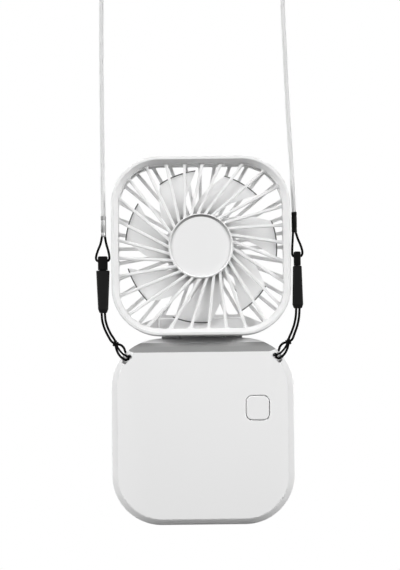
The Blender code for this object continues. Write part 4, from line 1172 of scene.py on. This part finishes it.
@dataclass
class Impeller:
    """Seven swept blades on a cup that covers the motor."""

    centre: Point = (0.0, FRONT + 0.0058, HEAD_Z)
    cup: float = 0.0137
    cup_edge: float = 0.0006
    wall: float = 0.0012
    depth: float = 0.0084
    bore: float = 0.0013
    radius: float = 0.0365
    blades: int = 7
    phase: float = math.radians(5)
    root_angle: float = math.radians(40)
    tip_angle: float = math.radians(29)
    sweep: float = math.radians(34)
    sweep_power: float = 1.2
    pitch_depth: float = 0.0066
    start: float = 0.0006
    thickness: float = 0.0009
    taper_share: float = 0.12
    edge_share: float = 0.35
    steps: int = 18
    smooth: float = 40.0

    def place(self, share: float, chord: float, side: int) -> Vector:
        """A point of the swept, pitched blade at angle 0, from the impeller's centre.

        Args:
            share: how far from root to tip.
            chord: how far from the rear edge to the front edge.
            side: 0 on the front surface, 1 on the rear.

        Returns:
            The point.
        """
        root = self.cup - self.wall / 2
        radius = root + share * (self.radius - root)
        span = self.root_angle + share * (self.tip_angle - self.root_angle)
        angle = self.sweep * (1 - share) ** self.sweep_power + span * (0.5 - chord)
        edge = min(min(chord, 1 - chord) / self.taper_share, 1.0)
        thickness = self.thickness * (self.edge_share + (1 - self.edge_share) * math.sqrt(edge))
        camber = math.sin(math.pi * chord) * self.thickness
        middle = self.start + self.pitch_depth * (1 - chord) + camber + self.thickness / 2
        return Vector((radius * math.cos(angle), middle + (side - 0.5) * thickness, radius * math.sin(angle)))

    def blade(self, turn: float) -> BMesh:
        """One blade, at this angle round the shaft.

        Args:
            turn: the angle.

        Returns:
            The blade.
        """
        bm = bmesh.new()
        spin = Matrix.Rotation(-turn, 3, "Y")
        for side in (0, 1):
            made = bmesh.ops.create_grid(bm, x_segments=self.steps, y_segments=self.steps, size=0.5)["verts"]
            for vert in made:
                vert.co = Vector(self.centre) + spin @ self.place(vert.co.x + 0.5, vert.co.y + 0.5, side)
        bmesh.ops.bridge_loops(bm, edges=[e for e in bm.edges if e.is_boundary])
        return bm

    def build(self, finish: Material) -> None:
        """Builds and dresses the impeller.

        Args:
            finish: the blades' plastic.
        """
        soft = self.cup_edge
        inner = self.cup - self.wall
        spindle = self.bore + self.wall
        piece = link("impeller_wheel", spun([
            (0.0, 0.0),
            (self.cup - soft, 0.0),
            (self.cup - soft / 3, soft / 3),
            (self.cup, soft),
            (self.cup, self.depth),
            (inner, self.depth),
            (inner, self.wall),
            (spindle, self.wall),
            (spindle, 2 * self.wall),
            (self.bore, 2 * self.wall),
            (self.bore, self.wall / 2),
            (0.0, self.wall / 2),
        ], self.centre, steps=96))
        for k in range(self.blades):
            carve(piece, self.blade(self.phase + math.tau * k / self.blades), Work.JOIN)
        dress(settle(piece, self.smooth), finish, "impeller", "blade_white", "impeller")


def hung(route: tuple[Pair, ...], lift: float = 0.0) -> list[Vector]:
    """Points of a route in the lanyard's plane.

    Args:
        route: (x, height over the hinge) of each point.
        lift: how much higher its two ends go.

    Returns:
        The points.
    """
    spots = [Vector((x, 0.0, HINGE.z + z)) for x, z in route]
    for end in (spots[0], spots[-1]):
        end.z += lift
    return spots


@dataclass
class Buckle:
    """One of the two detachable buckles; the right one is turned edge on."""

    side: Side
    x: float
    plug_top: float
    edge_on: bool
    plug_width: float = 0.0046
    plug_thick: float = 0.0032
    plug_height: float = 0.0065
    plug_edge: float = 0.0005
    plug_corner: float = 0.00065
    eye: float = 0.0008
    eye_drop: float = 0.0023
    eye_flare: float = 0.0004
    prong_length: float = 0.008
    prong_width: float = 0.0011
    prong_span: float = 0.0034
    prong_thick: float = 0.0016
    prong_root: float = 0.0006
    prong_edge: float = 0.0002
    neck: float = 0.0016
    top_width: float = 0.0063
    end_width: float = 0.0047
    top_thick: float = 0.0040
    end_thick: float = 0.0050
    length: float = 0.0201
    pocket: float = 0.0090
    corner: float = 0.0009
    foot: tuple[Pair, ...] = ((0.0, 0.95), (0.2, 0.65), (2.0, 0.0))  # up and in, in corner radii

    def turned(self, width: float, thick: float) -> Pair:
        """Half sizes along x and y of a part this wide and thick."""
        return (thick / 2, width / 2) if self.edge_on else (width / 2, thick / 2)

    @property
    def top(self) -> float:
        """Height of the plug's top."""
        return HINGE.z + self.plug_top

    def plug(self, finish: Material) -> Object:
        """Male half: an eye for the loop, a neck and two prongs.

        Args:
            finish: the buckle's plastic.

        Returns:
            The piece.
        """
        top, bottom = self.top, self.top - self.plug_height
        half_x, half_y = self.turned(self.plug_width, self.plug_thick)
        edge = self.plug_edge
        soft = GAP / 2
        piece = link(f"plug_{self.side.word}", tower([
            (bottom, half_x - soft, half_y - soft),
            (bottom + soft, half_x, half_y),
            (top - edge, half_x, half_y),
            (top - edge / 3, half_x - edge / 3, half_y - edge / 3),
            (top, half_x - edge, half_y - edge),
        ], self.plug_corner, (self.x, 0.0)))
        reach = half_x + OVER
        flare = self.eye + 2 * self.eye_flare
        near = OVER + self.eye_flare
        far = 2 * reach - near
        carve(piece, spun([(0.0, 0.0), (flare, 0.0), (self.eye, near), (self.eye, far), (flare, 2 * reach),
                           (0.0, 2 * reach)], (self.x - reach, 0.0, top - self.eye_drop), "X", steps=24))
        aside = (self.prong_span - self.prong_width) / 2
        for middle, width, length in ((0.0, self.prong_span, self.neck), (-aside, self.prong_width, self.prong_length),
                                      (aside, self.prong_width, self.prong_length)):
            size_x, size_y = self.turned(width, self.prong_thick)
            x, y = (self.x, middle) if self.edge_on else (self.x + middle, 0.0)
            carve(piece, block((x - size_x, y - size_y, bottom - length),
                               (x + size_x, y + size_y, bottom + self.prong_root), self.prong_edge), Work.JOIN)
        return dress(settle(piece), finish, "lanyard", "black_plastic", f"buckle_plug_{self.side.word}")

    def socket(self, finish: Material) -> Object:
        """Female half: a tapered sleeve with a pocket for the prongs.

        Args:
            finish: the buckle's plastic.

        Returns:
            The piece.
        """
        top = self.top - self.plug_height - GAP
        bottom = top - self.length
        end_x, end_y = self.turned(self.end_width, self.end_thick)
        top_x, top_y = self.turned(self.top_width, self.top_thick)
        corner = self.corner
        piece = link(f"socket_{self.side.word}", tower([
            *((bottom + up * corner, end_x - by * corner, end_y - by * corner) for up, by in self.foot),
            (top - GAP, top_x, top_y),
            (top, top_x - GAP, top_y - GAP),
        ], corner, (self.x, 0.0)))
        half_x, half_y = self.turned(self.prong_span + 2 * GAP, self.prong_thick + 2 * GAP)
        carve(piece, block((self.x - half_x, -half_y, top - self.pocket), (self.x + half_x, half_y, top + OVER)))
        return dress(settle(piece), finish, "base", "black_plastic", f"buckle_socket_{self.side.word}")


BUCKLES = (Buckle(Side.LEFT, -0.0466, 0.0385, False), Buckle(Side.RIGHT, 0.0456, 0.0397, True))


@dataclass
class Lanyard:
    """The white neck cord with its sleeves, thin loops and plugs."""

    radius: float = 0.0011
    loop_radius: float = 0.00057
    sleeve_radius: float = 0.0013
    sleeve_length: float = 0.0098
    sleeve_edge: float = 0.0003
    crimp_depth: float = 0.00006
    crimps: Pair = (0.2, 0.8)
    step: float = 0.0008
    route: tuple[Pair, ...] = (
        (-0.0462, 0.0579), (-0.0463, 0.0800), (-0.0464, 0.1050), (-0.0464, 0.1300), (-0.0463, 0.1520),
        (-0.0458, 0.1690), (-0.0425, 0.1835), (-0.0350, 0.1945), (-0.0235, 0.2022), (-0.0080, 0.2057),
        (0.0080, 0.2057), (0.0215, 0.2015), (0.0315, 0.1930), (0.0375, 0.1815), (0.0400, 0.1680),
        (0.0406, 0.1520), (0.0413, 0.1300), (0.0423, 0.1050), (0.0435, 0.0800), (0.04445, 0.0589),
    )
    left_loop: tuple[Pair, ...] = (
        (-0.0469, 0.0475), (-0.0476, 0.0445), (-0.0489, 0.0412), (-0.0497, 0.0387), (-0.0497, 0.0370),
        (-0.0486, 0.0362), (-0.0466, 0.0362), (-0.0446, 0.0362), (-0.0436, 0.0370), (-0.0435, 0.0387),
        (-0.0440, 0.0412), (-0.0449, 0.0445), (-0.0455, 0.0475),
    )
    right_loop: tuple[Pair, ...] = (
        (0.0438, 0.0485), (0.0436, 0.0455), (0.0434, 0.0425), (0.0433, 0.0396), (0.0434, 0.0381),
        (0.0442, 0.0374), (0.0456, 0.0374), (0.0470, 0.0374), (0.0479, 0.0382), (0.0481, 0.0398),
        (0.0474, 0.0425), (0.0461, 0.0457), (0.0451, 0.0485),
    )

    def sleeve(self, side: Side, finish: Material, slot: str) -> Object:
        """A crimped sleeve at one end of the cord.

        Args:
            side: which end.
            finish: its metal or plastic.
            slot: the record's material slot.

        Returns:
            The piece.
        """
        x, z = self.route[0] if side is Side.LEFT else self.route[-1]
        edge, full, top = self.sleeve_edge, self.sleeve_radius, self.sleeve_length
        crimp = full - self.crimp_depth
        profile = [(0.0, 0.0), (full - edge, 0.0), (full - edge / 3, edge / 3), (full, edge)]
        for middle in (top * share for share in self.crimps):
            profile += [(full, middle - 2 * edge), (crimp, middle - edge), (crimp, middle + edge),
                        (full, middle + 2 * edge)]
        profile += [(full, top - edge), (full - edge / 3, top - edge / 3), (full - edge, top), (0.0, top)]
        piece = link(f"sleeve_{side.word}", spun(profile, (x, 0.0, HINGE.z + z - GAP - top), "Z", steps=40))
        return dress(piece, finish, "lanyard", slot, f"ferrule_{side.word}")

    def build(self, cord: Material, thin: Material, metal: Material, dark: Material, plastic: Material) -> None:
        """Builds and dresses the lanyard.

        Args:
            cord: the white braid.
            thin: the black braid.
            metal: the left sleeve's finish.
            dark: the right sleeve's finish.
            plastic: the plugs' finish.
        """
        carried = [self.sleeve(Side.LEFT, metal, "grey_sleeve"), self.sleeve(Side.RIGHT, dark, "black_sleeve")]
        for side, route in ((Side.LEFT, self.left_loop), (Side.RIGHT, self.right_loop)):
            loop = sweep(f"loop_{side.word}", smooth_line(hung(route, GAP), self.step / 2), self.loop_radius)
            carried.append(dress(loop, thin, "lanyard", "black_cord", f"buckle_loop_{side.word}"))
        carried += [buckle.plug(plastic) for buckle in BUCKLES]
        line = smooth_line(hung(self.route, -GAP), self.step)
        neck = dress(sweep("neck_cord", line, self.radius, sides=20), cord, "lanyard", "white_cord", "lanyard_cord")
        length_of(line)


@dataclass
class Tether:
    """The black cord of one buckle: down from the socket, through the base's eyelet and up again."""

    buckle: Buckle
    route: tuple[Pair, ...]
    radius: float = 0.00058
    spread: float = 0.00078
    step: float = 0.0004
    half_base: float = 0.043
    corner: float = 0.0235
    seam_half: float = 0.0005
    knot_out: float = 0.0066
    knot_along: float = -0.00035
    knot_half_width: float = 0.00108
    knot_half_depth: float = 0.0018
    knot_radius: float = 0.0005
    knot_turns: float = 1.5
    knot_pitch: float = 0.0011
    knot_steps: int = 108
    tail: tuple[Point, ...] = (
        (0.0001, -0.0028, 0.0030), (0.0001, -0.0028, 0.0016), (-0.0002, -0.0025, 0.0003),
        (-0.0008, -0.0014, 0.0000), (-0.0012, 0.0003, 0.0006), (-0.0012, 0.0021, 0.0012),
        (-0.0009, 0.0040, 0.0015),
    )
    ring: tuple[Point, ...] = (
        (-0.0006, 0.0062, 0.0028), (-0.0019, 0.0042, 0.0024), (-0.0027, 0.0020, 0.0016),
        (-0.0029, 0.0002, 0.0008), (-0.0028, -0.0014, 0.0001), (-0.0022, -0.0025, 0.0003),
        (-0.0015, -0.0028, 0.0015), (-0.0011, -0.0028, 0.0031), (-0.0007, -0.0024, 0.0048),
        (-0.0003, -0.0011, 0.0053), (0.0002, 0.0006, 0.0053), (0.0010, 0.0023, 0.0050),
        (0.0010, 0.0043, 0.0045), (-0.0001, 0.0062, 0.0042),
    )

    def corner_place(self, along: float, out: float, depth: float) -> Vector:
        """A point by the base's top corner.

        Args:
            along: how far along the corner's tangent, upwards.
            out: how far out from the outline.
            depth: how far behind the front plane.

        Returns:
            The point.
        """
        share = math.sqrt(0.5)
        x = self.buckle.side.value * (self.half_base - self.corner + share * (self.corner + out) - share * along)
        z = -self.seam_half - self.corner + share * (self.corner + out) + share * along
        return Vector((x, FRONT + depth, HINGE.z + z))

    def strand(self, shift: float) -> list[Vector]:
        """One of the two strands between buckle and hitch, this far beside their middle line."""
        middle = hung(self.route)
        return [spot + Vector((flow.z, 0.0, -flow.x)) * shift for spot, flow in zip(middle, flows_of(middle))]

    def build(self, thin: Material, plastic: Material) -> None:
        """Builds and dresses the tether, its hitch and its socket.

        Args:
            thin: the black braid.
            plastic: the socket's finish.
        """
        word = self.buckle.side.word
        socket = self.buckle.socket(plastic)
        shift = self.buckle.side.value * self.spread
        down, up = self.strand(shift), self.strand(-shift)[::-1]
        lift = Vector((0.0, 0.0, GAP))
        down[0] += lift
        up[-1] += lift
        line = smooth_line(down + [self.corner_place(*spot) for spot in self.ring] + up, self.step)
        cord = dress(sweep(f"tether_{word}", line, self.radius), thin, "base", "black_cord", f"tether_cord_{word}")
        turns = [math.tau * self.knot_turns * k / self.knot_steps for k in range(self.knot_steps + 1)]
        rise = self.knot_pitch / math.tau
        start = self.knot_out - self.knot_pitch * self.knot_turns / 2
        wrap = [self.corner_place(self.knot_along + self.knot_half_width * math.sin(t), start + rise * t,
                                  -FRONT - self.knot_half_depth * math.cos(t)) for t in turns]
        tail = smooth_line([self.corner_place(*spot) for spot in self.tail] + [wrap[0]], self.step)
        hitch = sweep(f"hitch_{word}", tail[:-1] + wrap, self.knot_radius)
        dress(hitch, thin, "base", "black_cord", f"tether_knot_{word}")
        length_of(line)


TETHERS = (
    Tether(BUCKLES[0], ((-0.0466, 0.0113), (-0.0463, 0.0080), (-0.0453, 0.0045), (-0.0437, 0.0011),
                        (-0.0420, -0.0016))),
    Tether(BUCKLES[1], ((0.0456, 0.0125), (0.0453, 0.0088), (0.0445, 0.0050), (0.0432, 0.0014),
                        (0.0419, -0.0016))),
)


@dataclass
class Base:
    """The flat battery base with its button, screws and eyelets."""

    outline: Outline = Outline(0.086, 0.088, 0.0235, HINGE.z - 0.0445)
    wall: float = 0.0018
    chamfer: float = 0.0028
    chamfer_angles: Pair = (0.7, 0.9)  # the chamfer's own edges turn by this much
    corner_steps: int = 28
    cavity_steps: int = 12
    button_steps: int = 8
    soft: float = 0.0004
    parting: float = 0.011
    lip_share: float = -0.0001  # how far the seam's lip reaches forwards, in gaps
    thickness: float = 0.020
    rear_edge: float = 0.0012
    slope_start: float = 0.0040
    slope_low: float = 0.0073
    slope_top: float = 0.0005
    slope_half: float = 0.05
    cavity_top: float = 0.0155
    button: Outline = Outline(0.0106, 0.0113, 0.0028, HINGE.z - 0.0339, 0.0259)
    button_rise: float = 0.0003
    button_edge: float = 0.0005
    button_lip: float = 0.0002
    flange: float = 0.001
    flange_thick: float = 0.0009
    usb_width: float = 0.0096
    usb_height: float = 0.0038
    usb_depth: float = 0.0086
    usb_reach: float = 0.004
    eyelet_inset: float = 0.0015
    eyelet_width: float = 0.0023
    eyelet_length: float = 0.0054
    eyelet_shift: float = -0.0017
    eyelet_corner: float = 0.0009
    mouth_depth: float = 0.0042
    mouth_width: float = 0.0022
    mouth_reach: float = 0.004
    mouth_step: float = 0.0002
    knuckle: float = 0.003
    relief: float = 0.0034  # room for the head's knuckle
    saddle: float = 0.01144
    knuckle_start: float = 0.01124
    knuckle_end: float = 0.0194
    pin_hole: float = 0.0012
    screws: tuple[Pair, ...] = ((-0.0345, 0.0255), (0.0345, 0.0255), (-0.0305, 0.0785), (0.0305, 0.0785))
    screw_bore: float = 0.0012
    screw_room: float = 0.0022
    screw_seat: float = 0.0180
    screw_head: float = 0.0019
    screw_top: float = 0.0196
    screw_shank: float = 0.0009
    screw_length: float = 0.010
    cross_width: float = 0.0006
    cross_reach: float = 0.0012
    cross_depth: float = 0.0008

    def slope(self) -> BMesh:
        """Wedge over the sloping top end.

        Returns:
            The wedge.
        """
        ahead = 2 * OVER
        rear = HINGE.y - self.slope_start
        fall = (self.slope_low - self.slope_top) / (rear - FRONT) * (rear - FRONT + ahead)
        bm = block((-self.slope_half, FRONT - ahead, HINGE.z - self.slope_top),
                   (self.slope_half, rear, HINGE.z + ahead))
        low = [v for v in bm.verts if v.co.z < HINGE.z and v.co.y < FRONT]
        bmesh.ops.translate(bm, verts=low, vec=(0, 0, -fall))
        return bm

    def cavity(self, levels: list[Pair]) -> BMesh:
        """Hollow under the top end.

        Args:
            levels: (depth, inset) of the outlines that it goes through.

        Returns:
            The hollow.
        """
        bm = bmesh.new()
        faces = []
        high = HINGE.z - self.cavity_top
        for depth, by in levels:
            low = self.outline.z - self.outline.height / 2 + by
            shape = Outline(self.outline.width - 2 * by, high - low, self.outline.corner - by, (low + high) / 2)
            faces.append(shape.face(bm, depth, self.cavity_steps))
        return stack(bm, faces)

    def eyelet(self, tether: Tether) -> list[BMesh]:
        """The slot beside one top corner and its mouth out through the corner's wall.

        Args:
            tether: the cord that goes through them.

        Returns:
            The slot and the mouth.
        """
        tools = []
        half = self.eyelet_length / 2
        back = self.mouth_depth + self.mouth_width
        edge = -self.eyelet_inset
        for cut, low, high, near, far, corner in (
            (half, edge - self.eyelet_width, edge, -OVER, back + self.mouth_step, self.eyelet_corner),
            (half - self.mouth_step, edge - self.eyelet_width / 2, self.mouth_reach, self.mouth_depth, back, 0.0),
        ):
            spots = [tether.corner_place(self.eyelet_shift + u, w, 0.0)
                     for u, w in ((-cut, low), (cut, low), (cut, high), (-cut, high))]
            centre = sum(spots, Vector()) / 4
            sides = (spots[1] - spots[0], spots[2] - spots[1])
            along, out = (side.normalized() for side in sides)
            turn = Matrix((along, out, along.cross(out))).transposed().to_4x4()
            bm = bmesh.new()
            tools.append(stack(bm, [rounded_face(bm, [side.length for side in sides], corner, 6,
                                                 Matrix.Translation(centre + Vector((0, d, 0))) @ turn)
                                    for d in (near, far)]))
        return tools

    def front_cover(self) -> Object:
        """Front shell: a flat face with a chamfer all round, cut off by the sloping top end.

        Returns:
            The piece.
        """
        bm = round_edges(slab(self.outline, 0.0, self.parting, self.corner_steps), FORWARD, self.chamfer, 1)
        bm.normal_update()
        low, high = self.chamfer_angles
        bevel(bm, [e for e in bm.edges if e.is_manifold and low < e.calc_face_angle() < high], self.soft, 3)
        piece = link("base_front", bm)
        slant = self.chamfer + self.wall * (math.sqrt(2) - 1)
        carve(piece, self.cavity([(self.wall, slant), (slant, self.wall), (self.parting + 2 * OVER, self.wall)]))
        carve(piece, self.slope())
        hole, lip, steps = self.button.inset(-GAP), self.button_lip, self.button_steps
        carve(piece, slab(hole, -OVER, self.wall + OVER, steps))
        carve(piece, round_edges(slab(hole.inset(-lip), -OVER, lip, steps), BACKWARD, lip, 1))
        bottom = self.outline.z - self.outline.height / 2
        half_x, half_y = self.usb_width / 2, self.usb_height / 2
        carve(piece, tower([(bottom - OVER, half_x, half_y), (bottom + self.usb_reach, half_x, half_y)], half_y - GAP,
                           (0.0, FRONT + self.usb_depth), steps))
        for tether in TETHERS:
            for tool in self.eyelet(tether):
                carve(piece, tool)
        return settle(piece)

    def rear_cover(self) -> Object:
        """Rear shell with the two outer hinge knuckles and four sunk screw holes.

        Returns:
            The piece.
        """
        front, back = self.parting + GAP, self.thickness
        shell = slab(self.outline, front, back, self.corner_steps)
        piece = link("base_rear", round_edges(shell, BACKWARD, self.rear_edge, 4))
        carve(piece, self.cavity([(front - 2 * OVER, self.wall), (back - self.wall, self.wall)]))
        carve(piece, self.slope())
        start = front - 3 * OVER
        profile = [(0.0, start), (self.screw_bore, start), (self.screw_bore, self.screw_seat),
                   (self.screw_room, self.screw_seat), (self.screw_room, back - GAP),
                   (self.screw_room + 2 * GAP, back + GAP), (0.0, back + GAP)]
        for x, drop in self.screws:
            carve(piece, spun(profile, (x, FRONT, HINGE.z - drop), steps=32))
        carve(piece, hinge_bar(self.relief, -self.saddle, self.saddle))
        for low, high in both_sides(self.knuckle_start, self.knuckle_end):
            carve(piece, hinge_bar(self.knuckle, low, high, GAP), Work.JOIN)
        reach = self.knuckle_end + GAP
        carve(piece, hinge_bar(self.pin_hole, -reach, reach, steps=24))
        return settle(piece)

    def key(self) -> Object:
        """The square key with its hidden flange.

        Returns:
            The piece.
        """
        shoulder = self.wall + GAP
        cap = slab(self.button, -self.button_rise, shoulder, self.button_steps)
        piece = link("power_key", round_edges(cap, FORWARD, self.button_edge, 3))
        wide = self.button.inset(-self.flange)
        carve(piece, slab(wide, shoulder, shoulder + self.flange_thick, self.button_steps), Work.JOIN)
        return settle(piece)

    def screw(self, k: int) -> Object:
        """One cross-head screw.

        Args:
            k: which one.

        Returns:
            The piece.
        """
        x, drop = self.screws[k]
        seat = self.screw_seat + GAP
        end = seat - self.screw_length
        profile = [(0.0, end), (self.screw_shank - GAP, end), (self.screw_shank, end + GAP), (self.screw_shank, seat),
                   (self.screw_head, seat), (self.screw_head, self.screw_top - GAP),
                   (self.screw_head - GAP, self.screw_top), (0.0, self.screw_top)]
        piece = link(f"screw_{k + 1}", spun(profile, (x, FRONT, HINGE.z - drop), steps=40))
        top = FRONT + self.screw_top
        for wide, tall in ((self.cross_reach, self.cross_width / 2), (self.cross_width / 2, self.cross_reach)):
            carve(piece, block((x - wide, top - self.cross_depth, HINGE.z - drop - tall),
                               (x + wide, top + OVER, HINGE.z - drop + tall)))
        return settle(piece)

    def build(self, shell: Material, rear: Material, key: Material, steel: Material) -> None:
        """Builds and dresses the base.

        Args:
            shell: the white of the front.
            rear: the white of the rear cover.
            key: the button's white.
            steel: the screws' metal.
        """
        dress(self.front_cover(), shell, "base", "white_shell", "base_front_cover")
        dress(self.rear_cover(), rear, "base", "white_shell", "base_rear_cover")
        lip = link("base_lip", tongue(self.outline, self.wall, self.parting, self.lip_share * GAP))
        carve(lip, self.slope())
        dress(settle(lip, None), rear, "base", "white_shell")
        dress(self.key(), key, "button", "white_shell", "power_button")
        for k in range(len(self.screws)):
            dress(self.screw(k), steel, "base", "steel", f"base_screw_{k + 1}")


@dataclass
class Studio:
    """Floor, backdrop, lamps and the camera at the photograph's angle."""

    distance: float = 0.8
    lens: float = 106.6
    sensor: float = 36.0
    pitch: float = math.radians(3.0)
    roll: float = math.radians(-0.656)
    target: Vector = field(default_factory=lambda: Vector((-0.000628, 0.0, -0.180418)))
    floor_drop: float = 3.0
    backdrop_far: float = 3.4
    reach: float = 8.0
    sky: float = 0.05
    lamp_far: float = 2.8
    lamps: tuple[tuple[str, float, float, float, float], ...] = (
        ("front", 25.0, 14.0, 10.0, 0.7), ("key", 60.0, 19.5, 57.5, 0.7), ("back", 140.0, 8.0, 41.0, 1.4),
    )

    def sheet(self, name: str, place: Matrix, finish: Material) -> None:
        """Adds the floor or the backdrop.

        Args:
            name: its name.
            place: where it goes.
            finish: its material.
        """
        bm = bmesh.new()
        bmesh.ops.create_grid(bm, x_segments=1, y_segments=1, size=self.reach, matrix=place)
        made = link(name, bm, None)
        made.data.materials.append(finish)

    def world(self) -> None:
        """Sets an even pale sky that the camera sees as white."""
        world = bpy.data.worlds.new("studio")
        bpy.context.scene.world = world
        world.use_nodes = True
        tree = world.node_tree
        ground = tree.nodes["Background"]
        ground.inputs["Color"].default_value = (1.0, 1.0, 1.0, 1.0)
        tree.links.new((seen(tree) * (1.0 - self.sky) + self.sky).socket, ground.inputs["Strength"])

    def lamp(self, name: str, turn: float, rise: float, power: float, size: float) -> None:
        """Adds a square soft lamp that faces the fan.

        Args:
            name: its name.
            turn: how far round from the front it stands, in degrees.
            rise: how far above level it stands, in degrees.
            power: in watts.
            size: the side of its square.
        """
        way = Vector((0.0, -self.lamp_far, 0.0))
        way.rotate(Euler((-math.radians(rise), 0.0, math.radians(turn))))
        light = bpy.data.lights.new(name, "AREA")
        light.energy = power
        light.shape = "SQUARE"
        light.size = size
        made = placed(name, light)
        made.location = self.target + way
        made.rotation_mode = "QUATERNION"
        made.rotation_quaternion = (-way).to_track_quat("-Z", "Y")

    def camera(self) -> None:
        """Adds the camera: a little below the fan's middle, looking up by its pitch."""
        forward = Vector((0.0, math.cos(self.pitch), math.sin(self.pitch)))
        level = Vector((0.0, -math.sin(self.pitch), math.cos(self.pitch)))
        across = Vector((1.0, 0.0, 0.0))
        right = across * math.cos(self.roll) + level * math.sin(self.roll)
        up = level * math.cos(self.roll) - across * math.sin(self.roll)
        data = bpy.data.cameras.new("camera")
        data.lens = self.lens
        data.sensor_fit = "VERTICAL"
        data.sensor_height = self.sensor
        data.sensor_width = self.sensor
        made = placed("camera", data)
        turn = Matrix((right, up, -forward)).transposed().to_4x4()
        made.matrix_world = Matrix.Translation(self.target - forward * self.distance) @ turn
        bpy.context.scene.camera = made

    def build(self, finish: Material) -> None:
        """Sets the whole stage.

        Args:
            finish: the floor's and the backdrop's white.
        """
        self.sheet("floor", Matrix.Translation((0, 0, self.target.z - self.floor_drop)), finish)
        wall = Matrix.Translation((0, self.backdrop_far, 0)) @ Matrix.Rotation(math.pi / 2, 4, "X")
        self.sheet("backdrop", wall, finish)
        self.world()
        for name, turn, *settings in self.lamps:
            for side in Side:
                self.lamp(f"{name}_{side.word}", side.value * turn, *settings)
        self.camera()
        bpy.context.scene.view_settings.view_transform = "Standard"


def dress_inside(finishes: dict[str, Material]) -> None:
    """Gives the CAD nodes that stay their finishes.

    Args:
        finishes: node names to materials.
    """
    for name, finish in finishes.items():
        mesh = bpy.data.objects[name].data
        mesh.materials.clear()
        mesh.materials.append(finish)
        LOG.info("%s keeps its CAD shape, in %s", name, finish.name)


def main() -> None:
    """Builds the stage, the cords, the head, the impeller, the base and the finishes of what stays."""
    logging.basicConfig(level=logging.INFO, format="%(message)s")
    Studio().build(STAGE.build())
    thin, plastic = BLACK_CORD.build(), BLACK.build()
    Lanyard().build(WHITE_CORD.build(), thin, SLEEVE.build(), BLACK_SLEEVE.build(), PLUG_BLACK.build())
    for tether in TETHERS:
        tether.build(thin, plastic)
    shell, rear, steel, board = SHELL.build(), REAR.build(), STEEL.build(), BOARD.build()
    Head().build(shell, GRILLE_SHELL.build(), rear)
    Impeller().build(BLADE.build())
    Base().build(BASE_SHELL.build(), rear, KEY.build(), steel)
    dress_inside({
        "battery_cell": FOIL.build(),
        "circuit_board": board,
        "tactile_switch": plastic,
        "usb_socket": steel,
        "hinge_pin_left": steel,
        "hinge_pin_right": steel,
        "motor_mount": rear,
        "motor_stator": COPPER.build(),
        "motor_board": board,
        "motor_bearing": BRONZE.build(),
        "motor_cable": rear,
        "friction_washer_left": steel,
        "friction_washer_right": steel,
        "rotor_magnet": MAGNET.build(),
        "motor_shaft": steel,
    })


if __name__ == "__main__":
    main()
